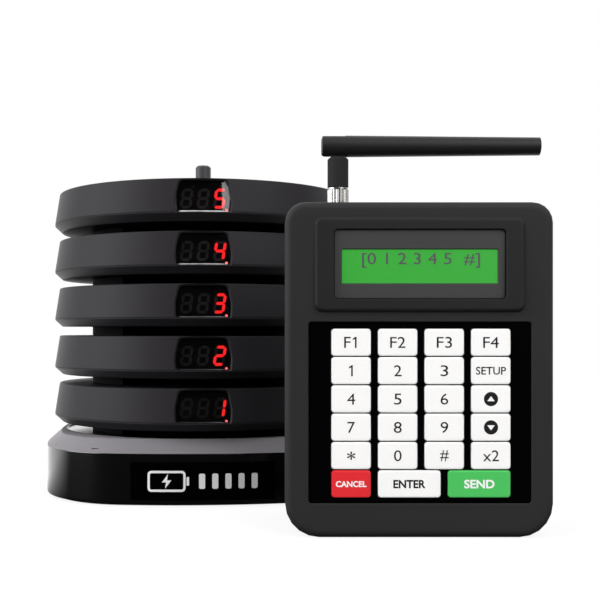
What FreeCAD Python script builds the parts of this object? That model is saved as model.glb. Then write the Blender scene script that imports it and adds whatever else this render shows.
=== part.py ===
"""A guest pager system: a charging base, five round pagers stacked on it, and a keypad console.

Frame: millimetres, +Z up, origin on the counter under the middle of the pager stack. The keypad faces
-Y, and the console stands in front of the stack and to its right.
"""

import FreeCAD, Part
import math
import os
import re

import Sketcher

PAGERS = 5

SIZES = [
    # The pagers. A pager's own heights count from the surface that its foot stands on.
    ("stack_turn", 3.42, "turn of the base and pagers about the stack's axis, degrees"),
    ("pager_radius", 58, "widest radius, at the parting line"),
    ("pager_body_height", 14.8, "from the underside of the body to its flat top"),
    ("pager_skirt_height", 2.9, "skirt under the parting line"),
    ("pager_skirt_inset", 2.8, "how far the skirt draws in towards the underside"),
    ("pager_wall_lean", 1.8, "how far the wall leans in towards the top"),
    ("pager_top_chamfer", 1.0, "broken edge round the top"),
    ("pager_rim", 3.4, "thickness of the shells' rim, to the corners of the inner wall"),
    ("pager_top_thickness", 1.8, "top shell"),
    ("pager_floor_thickness", 1.6, "bottom shell"),
    ("foot_radius", 43.6, "outside of the foot ring"),
    ("foot_height", 3.4, "foot ring, which is also the gap between two pagers"),
    ("foot_width", 4.0, "thickness of the foot ring"),
    ("foot_opening", 59, "gap in the front of the foot ring"),
    ("post_radius", 3.05, "charging post"),
    ("post_height", 13, "charging post above the surface that a pager stands on"),
    ("post_tip", 0.7, "broken edge of the post's tip"),
    ("post_hole_gap", 0.05, "round the post's root where it passes through a shell"),
    ("socket_gap", 0.2, "between the post and the flats of the twelve-sided socket above it"),
    ("socket_end_gap", 0.4, "over the post's tip in the socket"),
    ("socket_wall", 1.75, "socket tower inside the pager"),
    ("socket_end", 1.0, "closed end of the socket"),
    ("boss_lift", 0.4, "lower end of the tapered boss above the seat"),
    ("boss_wall", 3.2, "tapered boss at the body"),
    ("boss_taper", 1.9, "how far the boss draws in towards its lower end"),
    ("boss_root", 0.3, "upright root of the boss, at the body"),
    ("window_width", 19, "display window at its sill"),
    ("window_top_width", 15.6, "display window at its head"),
    ("window_straight", 4.6, "straight part of the window's sides"),
    ("window_head", 1.2, "wall left over the window"),
    ("window_gap", 0.1, "round the lens in its opening"),
    ("lens_setback", 2.0, "lens behind the widest radius"),
    ("lens_thickness", 1.2, "lens"),
    ("digits_gap", 1.6, "from the lens to the display block, at the middle"),
    ("digits_width", 17, "display block"),
    ("digits_depth", 4, "display block"),
    ("digits_height", 9.6, "display block"),
    ("pager_board_width", 62, "board"),
    ("pager_board_front", 40, "board in front of the axis"),
    ("pager_board_back", 36, "board behind the axis"),
    ("pager_board_thickness", 1.2, "board"),
    ("tower_clearance", 0.5, "board round the socket tower"),
    ("cell_width", 34, "rechargeable cell"),
    ("cell_length", 20, "rechargeable cell"),
    ("cell_thickness", 5.5, "rechargeable cell"),
    ("motor_radius", 5, "twelve-sided can of the vibration motor"),
    ("motor_thickness", 3.4, "vibration motor"),
    # The charging base.
    ("base_overhang", 1.7, "base's half width over the pager's radius"),
    ("base_side_radius", 174, "bow of the sides"),
    ("base_corner_radius", 34.8, "corners"),
    ("base_rim_height", 18.05, "lower edge of the sloped rim"),
    ("base_rim_width", 5.2, "sloped rim, seen from above"),
    ("base_rim_rise", 4.6, "sloped rim"),
    ("base_lip", 0.8, "width of the flat lip round the dish"),
    ("base_dish_depth", 0.75, "dish below the lip"),
    ("base_roof", 2.4, "roof under the dish"),
    ("base_wall", 6.2, "wall at the middle of a side"),
    ("base_cavity_chamfer", 16, "corners of the hollow"),
    ("sole_inset", 3.0, "sole inside the middle of a side"),
    ("sole_corner", 26.7, "broken corners of the sole"),
    ("sole_thickness", 0.8, "non-slip sole"),
    ("plate_thickness", 1.2, "bottom plate"),
    ("plate_gap", 0.15, "round the bottom plate"),
    ("plate_pad_height", 3, "pads that carry the charge board"),
    ("plate_pad_size", 8, "pads that carry the charge board"),
    ("base_board_width", 60, "charge board"),
    ("base_board_front", 24, "charge board in front of the axis"),
    ("base_board_thickness", 1.6, "charge board"),
    ("base_board_gap", 1.0, "behind the charge board and its pads"),
    ("stem_radius", 6, "twelve-sided stem of the charge post, under the roof"),
    ("label_width", 49.3, "label plate"),
    ("label_height", 12.7, "label plate"),
    ("label_bottom", 2.4, "label plate above the counter"),
    ("label_thickness", 0.7, "label plate"),
    ("label_gap", 0.1, "round and behind the label plate"),
    ("inlet_width", 9, "power inlet's block, in both housings"),
    ("inlet_height", 9, "power inlet's block"),
    ("inlet_length", 13, "power inlet's block"),
    ("inlet_bore", 3.1, "radius of the power inlet"),
    ("inlet_depth", 9, "power inlet"),
    ("inlet_gap", 0.15, "round the inlet's block in the wall"),
    ("inlet_setback", 0.5, "inlet's mouth behind the wall's face"),
    # The console. Its own Y counts back from the face, and its X from its middle.
    ("console_x", 69.5, "console's middle from the stack's axis"),
    ("console_gap", 12.4, "between the base and the console's back"),
    ("console_width", 78.1, "front shell"),
    ("console_height", 97.7, "front shell"),
    ("console_low_radius", 9.9, "lower corners"),
    ("console_high_radius", 6.0, "upper corners"),
    ("console_edge", 1.6, "broken edge of the face"),
    ("console_wall", 2.2, "front shell"),
    ("console_hollow_corner", 5, "broken corners of the front shell's hollow"),
    ("front_depth", 8, "front shell, to the parting line"),
    ("rear_step", 1.0, "rear shell inside the front shell's outline"),
    ("rear_wall", 2.0, "rear shell"),
    ("top_depth", 24, "console at its top"),
    ("foot_depth", 40, "console at its foot"),
    ("heel_height", 14, "upright part of the back"),
    ("post_block", 11.5, "solid corner posts of the rear shell"),
    ("screw_recess_radius", 2.8, "twelve-sided screw recesses in the back"),
    ("screw_recess_end", 6, "plastic left under a screw's head"),
    ("screw_inset", 5.6, "screws from the rear shell's sides and ends"),
    ("bezel_width", 61.0, "raised display bezel at the face"),
    ("bezel_height", 27.4, "raised display bezel at the face"),
    ("bezel_bottom", 65.6, "bezel above the counter"),
    ("bezel_corner", 2.0, "bezel's corners"),
    ("bezel_slope", 0.9, "width of the bezel's sloped edge"),
    ("bezel_high_rise", 0.5, "bezel's front over the face, at its top"),
    ("bezel_low_rise", 1.3, "bezel's front over the face, at its bottom"),
    ("surround_width", 49.7, "display surround"),
    ("surround_height", 20.0, "display surround"),
    ("surround_lift", 3.9, "surround over the bezel's lower edge"),
    ("surround_corner", 0.7, "surround's broken corners"),
    ("surround_face", 0.2, "surround's front behind the face"),
    ("surround_thickness", 1.0, "display surround"),
    ("surround_gap", 0.1, "round the surround in its recess"),
    ("screen_width", 45.2, "display window"),
    ("screen_height", 9.8, "display window"),
    ("screen_margin", 1.0, "front shell's opening beyond the display window"),
    ("screen_lift", 4.45, "window over the surround's lower edge"),
    ("screen_face", 0.5, "display glass behind the face"),
    ("screen_gap", 0.1, "round the display glass"),
    ("screen_frame", 2.6, "display block beyond the glass"),
    ("panel_width", 64.5, "key panel"),
    ("panel_height", 52.5, "key panel"),
    ("panel_bottom", 10.2, "key panel above the counter"),
    ("panel_corner", 0.6, "key panel's broken corners"),
    ("panel_face", 0.5, "key panel's front behind the face"),
    ("panel_thickness", 1.2, "key panel"),
    ("panel_gap", 0.1, "round the key panel in its recess"),
    ("panel_ledge", 0.9, "ledge under the panel's ends"),
    ("key_width", 11.4, "keycap"),
    ("key_length", 7.87, "keycap"),
    ("wide_key_width", 18.15, "the two wide keys of the last row"),
    ("key_corner", 0.5, "keycap's broken corners"),
    ("key_pitch_x", 13.5, "columns"),
    ("key_pitch_z", 8.21, "rows"),
    ("keys_shift", 0.3, "key block to the right of the console's middle"),
    ("keys_top", 60.75, "top of the first row above the counter"),
    ("key_rise", 0.5, "keycap over the panel"),
    ("key_gap", 0.2, "round a keycap in the panel"),
    ("key_travel", 0.5, "how far a key goes down"),
    ("flange_reach", 0.5, "keycap's side flanges"),
    ("flange_thickness", 0.7, "keycap's side flanges"),
    ("flange_gap", 0.05, "flange behind the panel, and key over its dome when it is down"),
    ("dome_height", 0.6, "domes of the key mat"),
    ("dome_width", 6, "domes"),
    ("dome_length", 4, "domes"),
    ("mat_thickness", 0.8, "key mat"),
    ("mat_margin", 1.5, "key mat beyond the keys at the sides"),
    ("mat_gap", 1.0, "between the key mat and the sides of its opening"),
    ("main_board_width", 66, "main board"),
    ("main_board_bottom", 8, "main board above the counter"),
    ("main_board_height", 82, "main board"),
    ("main_board_thickness", 1.6, "main board"),
    ("radio_width", 22, "radio block"),
    ("radio_height", 14, "radio block"),
    ("radio_thickness", 3, "radio block"),
    ("radio_inset", 1.0, "radio block below the board's upper edge"),
    ("console_inlet_height", 18, "inlet's block above the counter"),
    # The antenna. Its axis stands on the rear shell's top.
    ("antenna_x", -22.9, "antenna's axis from the console's middle"),
    ("antenna_y", 12.1, "antenna's axis behind the face"),
    ("connector_radius", 3.25, "connector"),
    ("connector_height", 6.5, "connector over the rear shell"),
    ("connector_stub", 1.6, "radius of the stub in the sleeve"),
    ("stub_height", 2.8, "stub over the connector"),
    ("shank_radius", 2.2, "connector's shank in the shell"),
    ("shank_length", 4.5, "connector's shank"),
    ("shank_gap", 0.1, "round the shank"),
    ("sleeve_radius", 3.15, "swivelling sleeve"),
    ("sleeve_height", 9, "swivelling sleeve"),
    ("sleeve_edge", 0.6, "broken edge of the sleeve's top"),
    ("swivel_gap", 0.05, "between the sleeve and the connector"),
    ("hinge_x", -1.9, "hinge beside the sleeve's axis"),
    ("hinge_rise", 5.35, "hinge over the sleeve"),
    ("neck_left", 2.1, "neck beside the sleeve's axis, on the heel's side"),
    ("neck_right", 2.0, "neck beside the sleeve's axis, on the arm's side"),
    ("neck_thickness", 2.8, "neck between the arm's ears"),
    ("neck_head", 1.0, "round head of the neck about the hinge"),
    ("ear_gap", 0.15, "between the neck and the ears"),
    ("slot_gap", 0.25, "beyond the neck in the arm's slot"),
    ("heel_gap", 0.15, "between the sleeve and the heel as the arm folds up"),
    ("hinge_pin", 0.5, "radius of the hinge pin"),
    ("hinge_pin_length", 4.2, "hinge pin, which ends inside the ears"),
    ("pin_gap", 0.05, "round the hinge pin"),
    ("arm_radius", 3.25, "sixteen-sided arm at its heel"),
    ("arm_taper", 0.55, "how far the arm draws in from the sleeve's axis to its tip"),
    ("arm_heel", 4.9, "arm's heel beyond the sleeve's axis"),
    ("arm_reach", 60.7, "arm's tip from the sleeve's axis"),
    ("arm_nose", 1.3, "broken edge of the tip"),
]

# Lengths that follow from the sizes, as expressions.
PITCH = "(foot_height + pager_body_height)"
PARTING = "(foot_height + pager_skirt_height)"
PAGER_FLOOR = "(foot_height + pager_floor_thickness)"
HOLLOW = "(pager_radius - pager_rim)"
SOCKET = "(post_radius + socket_gap)"
SOCKET_TOP = "(post_height + socket_end_gap + socket_end)"
LENS_FACE = "(pager_radius - lens_setback)"
WINDOW_TOP = f"({PITCH} - window_head)"
WINDOW_SHOULDER = f"({PARTING} + window_straight)"
WINDOW_RISE = f"({WINDOW_TOP} - {WINDOW_SHOULDER})"
WINDOW_DRAW = "((window_width - window_top_width) / 2)"
WINDOW_BULGE = f"(({WINDOW_RISE}^2 + {WINDOW_DRAW}^2) / (2 * {WINDOW_DRAW}))"
DIGITS_FACE = f"({LENS_FACE} - lens_thickness - digits_gap)"

BASE_HALF = "(pager_radius + base_overhang)"
PLATE_TOP = "(sole_thickness + plate_thickness)"
BASE_TOP = "(base_rim_height + base_rim_rise)"
SEAT = f"({BASE_TOP} - base_dish_depth)"
ROOF = f"({SEAT} - base_roof)"
BASE_BOARD = f"({PLATE_TOP} + plate_pad_height)"
BASE_BOARD_TOP = f"({BASE_BOARD} + base_board_thickness)"
BASE_HOLLOW = f"({BASE_HALF} - base_wall)"
BOW = f"(base_side_radius - {BASE_HALF})"
SPREAD = "(base_side_radius - base_corner_radius)"
CORNER = f"((sqrt(2 * {SPREAD}^2 - {BOW}^2) - {BOW}) / 2)"
INLET_MOUTH = f"({BASE_HALF} - inlet_setback)"

CONSOLE_Y = f"(-({BASE_HALF} + console_gap + foot_depth))"
REAR_HALF = "(console_width / 2 - rear_step)"
REAR_TOP = "(console_height - rear_step)"
BEZEL_TOP = "(bezel_bottom + bezel_height)"
SURROUND_BOTTOM = "(bezel_bottom + surround_lift)"
SURROUND_BACK = "(surround_face + surround_thickness)"
SCREEN_BOTTOM = f"({SURROUND_BOTTOM} + screen_lift)"
PANEL_BACK = "(panel_face + panel_thickness)"
KEY_TOP = "(panel_face - key_rise)"
FLANGE = f"({PANEL_BACK} + flange_gap)"
KEY_BACK = f"({FLANGE} + flange_thickness)"
DOME_TOP = f"({KEY_BACK} + key_travel + flange_gap)"
MAT = f"({DOME_TOP} + dome_height)"
BOARD = f"({MAT} + mat_thickness)"
BOARD_BACK = f"({BOARD} + main_board_thickness)"
KEYS_LEFT = "(keys_shift - 1.5 * key_pitch_x - key_width / 2)"
KEYS_RIGHT = "(keys_shift + 1.5 * key_pitch_x + key_width / 2)"
KEYS_BOTTOM = "(keys_top - 5 * key_pitch_z - key_length)"

STUB_BASE = f"({REAR_TOP} + connector_height)"
SLEEVE_BASE = f"({STUB_BASE} + 2 * swivel_gap)"
SLEEVE_TOP = f"({SLEEVE_BASE} + sleeve_height)"
HINGE = f"({SLEEVE_TOP} + hinge_rise)"

# The hinge lies as far over the arm's axis as beside the sleeve's, so the arm folds up over the sleeve.
ARM_AXIS = f"({HINGE} + hinge_x)"

# A cutter reaches this far past what it cuts, so that no skin is left.
PAST = "1"

doc = FreeCAD.newDocument("guest_pager_system")
sheet = doc.addObject("Spreadsheet::Sheet", "Sizes")
for row, (alias, number, meaning) in enumerate(SIZES, start=1):
    sheet.set(f"A{row}", alias)
    sheet.set(f"B{row}", str(number))
    sheet.set(f"C{row}", meaning)
    sheet.setAlias(f"B{row}", alias)
doc.recompute()

ALIASES = {alias for alias, number, meaning in SIZES}
parts = []


def bound(text):
    """The expression with each size's alias pointed at its cell."""
    return re.sub(
        r"[a-z][a-z0-9_]*",
        lambda word: "Sizes." + word[0] if word[0] in ALIASES else word[0],
        str(text),
    )


def value(text):
    """What an expression comes to."""
    number = sheet.evalExpression(bound(text))
    return float(getattr(number, "Value", number))


def place(thing, x="0", y="0", z="0", turn="0"):
    """Binds an object's place, and its turn about Z."""
    for axis, text in zip("xyz", (x, y, z)):
        thing.setExpression(f".Placement.Base.{axis}", bound(text))
    thing.setExpression(".Placement.Rotation.Angle", bound(turn))


def new_body(label, x="0", y="0", z="0", turn="0", part=True):
    """A PartDesign body at its place. A body that only helps to make a part isn't listed."""
    body = doc.addObject("PartDesign::Body", label)
    body.Label = label
    place(body, x, y, z, turn)
    if part:
        parts.append(body)
    return body


def origin_plane(body, role):
    return next(feature for feature in body.Origin.OriginFeatures if feature.Role == role)


def attach(feature, body, role, x="0", y="0", lift="0"):
    """Puts a sketch or primitive on an origin plane: lift is along the plane's normal, -Y for XZ."""
    feature.AttachmentSupport = [(origin_plane(body, role), "")]
    feature.MapMode = "FlatFace"
    for axis, text in zip("xyz", (x, y, lift)):
        feature.setExpression(f".AttachmentOffset.Base.{axis}", bound(text))


def pin(sketch, kind, text, *where):
    """A constraint bound to an expression."""
    index = sketch.addConstraint(Sketcher.Constraint(kind, *where, value(text)))
    sketch.setExpression(f"Constraints[{index}]", bound(text))


def arc(start, end, radius):
    """The arc that bulges to the right of the way from start to end."""
    half = (end - start) * 0.5
    rise = math.sqrt(max(radius**2 - half.Length**2, 0))
    centre = start + half + FreeCAD.Vector(-half.y, half.x, 0).normalize() * rise
    first = math.atan2(start.y - centre.y, start.x - centre.x)
    last = math.atan2(end.y - centre.y, end.x - centre.x)
    return Part.ArcOfCircle(Part.Circle(centre, FreeCAD.Vector(0, 0, 1), radius), first, last)


def draw(body, name, role, corners, lift="0"):
    """A closed sketch. A corner is x, y and, where an arc leaves it, the arc's radius.

    The corners go round counterclockwise, and the arcs bulge outwards.
    """
    sketch = body.newObject("Sketcher::SketchObject", name)
    attach(sketch, body, role, lift=lift)
    spots = [FreeCAD.Vector(value(corner[0]), value(corner[1]), 0) for corner in corners]
    count = len(corners)
    for i, corner in enumerate(corners):
        start, end = spots[i], spots[(i + 1) % count]
        if len(corner) == 3:
            sketch.addGeometry(arc(start, end, value(corner[2])), False)
        else:
            sketch.addGeometry(Part.LineSegment(start, end), False)
    for i in range(count):
        sketch.addConstraint(Sketcher.Constraint("Coincident", i, 2, (i + 1) % count, 1))
    for i, corner in enumerate(corners):
        pin(sketch, "DistanceX", corner[0], i, 1)
        pin(sketch, "DistanceY", corner[1], i, 1)
        if len(corner) == 3:
            pin(sketch, "Radius", corner[2], i)
    return sketch


def rectangle(left, right, low, high):
    return [(left, low), (right, low), (right, high), (left, high)]


def rounded(left, right, low, high, low_radius, high_radius=None):
    """A rectangle with round corners, for draw."""
    r, q = low_radius, high_radius or low_radius
    return [
        (f"{left} + {r}", low),
        (f"{right} - {r}", low, r),
        (right, f"{low} + {r}"),
        (right, f"{high} - {q}", q),
        (f"{right} - {q}", high),
        (f"{left} + {q}", high, q),
        (left, f"{high} - {q}"),
        (left, f"{low} + {r}", r),
    ]


def broken(left, right, low, high, corner):
    """A rectangle with broken corners, for draw."""
    return [
        (f"{left} + {corner}", low),
        (f"{right} - {corner}", low),
        (right, f"{low} + {corner}"),
        (right, f"{high} - {corner}"),
        (f"{right} - {corner}", high),
        (f"{left} + {corner}", high),
        (left, f"{high} - {corner}"),
        (left, f"{low} + {corner}"),
    ]


def bowed_square(inset):
    """The base's plan: four bowed sides and four round corners, tangent, drawn in by an inset."""
    side = f"(base_side_radius - {inset})"
    corner = f"(base_corner_radius - {inset})"
    near = f"({side} * {CORNER} / {SPREAD})"
    far = f"({side} * ({BOW} + {CORNER}) / {SPREAD} - {BOW})"
    return [
        (f"-{near}", f"-{far}", side),
        (near, f"-{far}", corner),
        (far, f"-{near}", side),
        (far, near, corner),
        (near, far, side),
        (f"-{near}", far, corner),
        (f"-{far}", near, side),
        (f"-{far}", f"-{near}", corner),
    ]


def pad(body, sketch, length, backwards=False):
    feature = body.newObject("PartDesign::Pad", sketch.Name + "_pad")
    feature.Profile = sketch
    feature.setExpression("Length", bound(length))
    feature.Reversed = backwards
    doc.recompute()
    return feature


def cut(body, feature):
    """Recomputes, and stops if a subtractive feature took nothing away."""
    before = feature.BaseFeature.Shape.Volume
    doc.recompute()
    if not feature.Shape.Volume < before:
        raise ValueError(f"{feature.Name} cuts nothing")
    return feature


def pocket(body, sketch, length, backwards=False):
    """A pocket along the sketch's normal, turned over: into +Y from XZ, or backwards into -Y."""
    feature = body.newObject("PartDesign::Pocket", sketch.Name + "_pocket")
    feature.Profile = sketch
    feature.setExpression("Length", bound(length))
    feature.Reversed = backwards
    return cut(body, feature)


def groove(body, name, corners):
    """Cuts a profile's full turn about the body's upright axis."""
    sketch = draw(body, name, "XZ_Plane", corners)
    feature = body.newObject("PartDesign::Groove", name + "_groove")
    feature.Profile = sketch
    feature.ReferenceAxis = (sketch, ["V_Axis"])
    feature.Angle = 360
    return cut(body, feature)


def cylinder(body, name, kind, role, x, y, lift, radius, height):
    """A cylinder along the plane's normal. kind is Additive or Subtractive."""
    feature = body.newObject(f"PartDesign::{kind}Cylinder", name)
    attach(feature, body, role, x, y, lift)
    feature.setExpression("Radius", bound(radius))
    feature.setExpression("Height", bound(height))
    if kind == "Subtractive":
        return cut(body, feature)
    doc.recompute()
    return feature


def prism(body, name, kind, sides, radius, lift, height, role="XY_Plane", x="0", y="0"):
    """A prism along the plane's normal, its radius to the corners. kind as for cylinder."""
    feature = body.newObject(f"PartDesign::{kind}Prism", name)
    attach(feature, body, role, x, y, lift)
    feature.Polygon = sides
    feature.setExpression("Circumradius", bound(radius))
    feature.setExpression("Height", bound(height))
    if kind == "Subtractive":
        return cut(body, feature)
    doc.recompute()
    return feature


def lean(body, name, base, level, inward, height):
    """Leans an upright prism's walls inwards, away from the flat end at one level."""
    faces = list(enumerate(base.Shape.Faces, start=1))
    ends = [i for i, face in faces if abs(face.normalAt(0, 0).z) > 0.5]
    hinge = next(i for i in ends if abs(base.Shape.Faces[i - 1].CenterOfMass.z - value(level)) < 1e-4)
    feature = body.newObject("PartDesign::Draft", name)
    feature.Base = (base, [f"Face{i}" for i, face in faces if i not in ends])
    feature.NeutralPlane = (base, [f"Face{hinge}"])
    feature.setExpression("Angle", bound(f"atan({inward} / {height})"))
    doc.recompute()
    return feature


def chamfer(body, name, base, test, down, inward=None):
    """Breaks the edges that pass a test: down the walls, and inward over the flat face."""
    feature = body.newObject("PartDesign::Chamfer", name)
    feature.Base = (base, edges_at(base, test))
    feature.setExpression("Size", bound(down))
    if inward:
        feature.ChamferType = "Two distances"
        feature.setExpression("Size2", bound(inward))
    doc.recompute()
    return feature


def at_level(text):
    """The test for edges that lie at a height."""
    level = value(text)
    return lambda point: abs(point.z - level) < 1e-4


def block(body, name, kind, x, y, z, length, width, height):
    """A box from its low corner. kind is Additive or Subtractive."""
    feature = body.newObject(f"PartDesign::{kind}Box", name)
    attach(feature, body, "XY_Plane", x, y, z)
    feature.setExpression("Length", bound(length))
    feature.setExpression("Width", bound(width))
    feature.setExpression("Height", bound(height))
    if kind == "Subtractive":
        return cut(body, feature)
    doc.recompute()
    return feature


def edges_at(feature, test):
    """The names of a feature's edges whose every point passes a test."""
    return [
        f"Edge{i}"
        for i, edge in enumerate(feature.Shape.Edges, start=1)
        if all(test(point) for point in edge.discretize(5))
    ]


def solid_box(name, x, y, z, length, width, height):
    """A Part box from its low corner, for parts made of several solids."""
    box = doc.addObject("Part::Box", name)
    place(box, x, y, z)
    box.setExpression("Length", bound(length))
    box.setExpression("Width", bound(width))
    box.setExpression("Height", bound(height))
    return box


def group(label, members, x="0", y="0", z="0", turn="0"):
    """One part made of separate solids."""
    compound = doc.addObject("Part::Compound", label)
    compound.Label = label
    compound.Links = members
    place(compound, x, y, z, turn)
    parts.append(compound)
    doc.recompute()
    return compound


# The pagers. Their round walls are many-sided, so that five of them stay light. Each kind of piece is
# made once, and every pager has its own copy of it.
WALL_SIDES = 40
FOOT_SIDES = 24
HOLLOW_SIDES = 24
BOSS_SIDES = 12


def window_outline(gap, low):
    """The window from the front: straight sides that bulge in towards a narrower head."""
    half = f"(window_width / 2 - {gap})"
    head = f"(window_top_width / 2 - {gap})"
    top = f"({WINDOW_TOP} - {gap})"
    return [
        (f"-{half}", low),
        (half, low),
        (half, WINDOW_SHOULDER, WINDOW_BULGE),
        (head, top),
        (f"-{head}", top, WINDOW_BULGE),
        (f"-{half}", WINDOW_SHOULDER),
    ]


def pager_top_shell():
    """The cap: a leaning wall with a broken top edge, a hole for the post and the window's notch."""
    body = new_body("top_shell", part=False)
    height = f"({PITCH} - {PARTING})"
    cap = prism(body, "cap", "Additive", WALL_SIDES, "pager_radius", PARTING, height)
    wall = lean(body, "cap_wall", cap, PARTING, "pager_wall_lean", height)
    chamfer(body, "cap_edge", wall, at_level(PITCH), "pager_top_chamfer")
    hollow = f"{height} - pager_top_thickness"
    prism(body, "cap_hollow", "Subtractive", HOLLOW_SIDES, HOLLOW, PARTING, hollow)
    hole = "post_radius + post_hole_gap"
    prism(body, "cap_hole", "Subtractive", BOSS_SIDES, hole, PARTING, height)
    outline = window_outline("0", f"{PARTING} - {PAST}")
    notch = draw(body, "notch", "XZ_Plane", outline, lift="pager_radius")
    pocket(body, notch, "2 * pager_rim")
    return body


def pager_bottom_shell():
    """The tray: skirt, foot ring open at the front, tapered boss, and the socket for a post."""
    body = new_body("bottom_shell", part=False)
    skirt = "pager_skirt_height"
    tray = prism(body, "skirt", "Additive", WALL_SIDES, "pager_radius", "foot_height", skirt)
    lean(body, "skirt_slope", tray, PARTING, "pager_skirt_inset", skirt)
    prism(body, "foot", "Additive", FOOT_SIDES, "foot_radius", "0", "foot_height")
    inside = "foot_radius - foot_width"
    prism(body, "foot_hollow", "Subtractive", HOLLOW_SIDES, inside, "0", "foot_height")
    half = "foot_opening / 2"
    front = rectangle(f"-{half}", half, f"-foot_radius - {PAST}", "-foot_radius / 2")
    opening = draw(body, "foot_front", "XY_Plane", front)
    pocket(body, opening, "foot_height", backwards=True)
    depth = f"{PARTING} - {PAGER_FLOOR}"
    prism(body, "tray_hollow", "Subtractive", HOLLOW_SIDES, HOLLOW, PAGER_FLOOR, depth)
    drop = "(foot_height - boss_lift)"
    wall = f"{SOCKET} + boss_wall"
    boss = prism(body, "boss", "Additive", BOSS_SIDES, wall, "boss_lift", drop)
    low = value("boss_lift")
    reach = value(wall) + 0.1
    chamfer(
        body,
        "boss_slope",
        boss,
        lambda point: abs(point.z - low) < 1e-4 and math.hypot(point.x, point.y) < reach,
        f"{drop} - boss_root",
        "boss_taper",
    )
    wall = f"{SOCKET} + socket_wall"
    rise = f"{SOCKET_TOP} - {PAGER_FLOOR}"
    prism(body, "tower", "Additive", BOSS_SIDES, wall, PAGER_FLOOR, rise)
    bore = f"{SOCKET} / cos(180 / {BOSS_SIDES})"
    prism(body, "socket", "Subtractive", BOSS_SIDES, bore, "0", f"{SOCKET_TOP} - socket_end")
    return body


def pager_window():
    """The smoked lens: the window's outline cut from a round wall, standing on the lower shell's rim."""
    body = new_body("lens", part=False)
    outline = window_outline("window_gap", PARTING)
    blank = draw(body, "lens_outline", "XZ_Plane", outline, lift="pager_radius")
    pad(body, blank, "2 * pager_rim", backwards=True)
    past = f"pager_radius + {PAST}"
    outside = [(LENS_FACE, "0"), (past, "0"), (past, PITCH), (LENS_FACE, PITCH)]
    groove(body, "lens_face", outside)
    inside = f"{LENS_FACE} - lens_thickness"
    cylinder(body, "lens_back", "Subtractive", "XY_Plane", "0", "0", "0", inside, PITCH)
    return body


def post(body, root, seat):
    """A charging post: twelve-sided inside the housing, round from its seat up, with a broken tip."""
    prism(body, f"{body.Name}_root", "Additive", BOSS_SIDES, "post_radius", root, f"{seat} - {root}")
    shaft = cylinder(
        body, f"{body.Name}_shaft", "Additive", "XY_Plane", "0", "0", seat, "post_radius", "post_height"
    )
    chamfer(body, f"{body.Name}_tip", shaft, at_level(f"{seat} + post_height"), "post_tip")


def pager_electronics():
    """Board, cell, vibration motor, display block and charging post, as separate solids."""
    board_top = f"({PAGER_FLOOR} + pager_board_thickness)"
    hole = f"({SOCKET} + socket_wall + tower_clearance)"
    sheet_of_board = solid_box(
        "board_sheet",
        "-pager_board_width / 2",
        "-pager_board_front",
        PAGER_FLOOR,
        "pager_board_width",
        "pager_board_front + pager_board_back",
        "pager_board_thickness",
    )
    tongue = solid_box(
        "board_tongue",
        "-digits_width / 2",
        f"-{DIGITS_FACE}",
        PAGER_FLOOR,
        "digits_width",
        DIGITS_FACE,
        "pager_board_thickness",
    )
    whole = doc.addObject("Part::Fuse", "board_whole")
    whole.Base = sheet_of_board
    whole.Tool = tongue
    tower_hole = solid_box(
        "board_hole",
        f"-{hole}",
        f"-{hole}",
        PAGER_FLOOR,
        f"2 * {hole}",
        f"2 * {hole}",
        "pager_board_thickness",
    )
    board = doc.addObject("Part::Cut", "pager_board")
    board.Base = whole
    board.Tool = tower_hole
    cell = solid_box(
        "cell",
        "-cell_width / 2",
        "pager_board_back - cell_length",
        board_top,
        "cell_width",
        "cell_length",
        "cell_thickness",
    )
    motor = doc.addObject("Part::Prism", "motor")
    place(motor, "-pager_board_width / 2 + 2 * motor_radius", "-2 * motor_radius", board_top)
    motor.Polygon = BOSS_SIDES
    motor.setExpression("Circumradius", bound("motor_radius"))
    motor.setExpression("Height", bound("motor_thickness"))
    display = solid_box(
        "digits",
        "-digits_width / 2",
        f"-{DIGITS_FACE}",
        board_top,
        "digits_width",
        "digits_depth",
        "digits_height",
    )
    pager_post = new_body("pager_post", part=False)
    post(pager_post, SOCKET_TOP, PITCH)
    return [board, cell, motor, display, pager_post]


# The charging base.


def base_sole():
    """A thin rubber sole under the housing: a square with broken corners."""
    body = new_body("base_sole", turn="stack_turn")
    half = f"({BASE_HALF} - sole_inset)"
    outline = broken(f"-{half}", half, f"-{half}", half, "sole_corner")
    pad(body, draw(body, "sole_plan", "XY_Plane", outline), "sole_thickness")


def hollow_outline(gap):
    """The housing's hollow in plan: a square with broken corners."""
    half = f"({BASE_HOLLOW} - {gap})"
    return broken(f"-{half}", half, f"-{half}", half, "base_cavity_chamfer")


def base_bottom_plate():
    """The plate that closes the hollow, with four pads for the charge board."""
    body = new_body("base_bottom_plate", z="sole_thickness", turn="stack_turn")
    pad(body, draw(body, "plate_plan", "XY_Plane", hollow_outline("plate_gap")), "plate_thickness")
    front = "-base_board_front"
    back = f"{BASE_HOLLOW} - base_board_gap - plate_pad_size"
    left = "-base_board_width / 2"
    right = "base_board_width / 2 - plate_pad_size"
    for corner, x, y in (
        ("front_left", left, front),
        ("front_right", right, front),
        ("back_left", left, back),
        ("back_right", right, back),
    ):
        block(
            body,
            f"pad_{corner}",
            "Additive",
            x,
            y,
            "plate_thickness",
            "plate_pad_size",
            "plate_pad_size",
            "plate_pad_height",
        )


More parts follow.
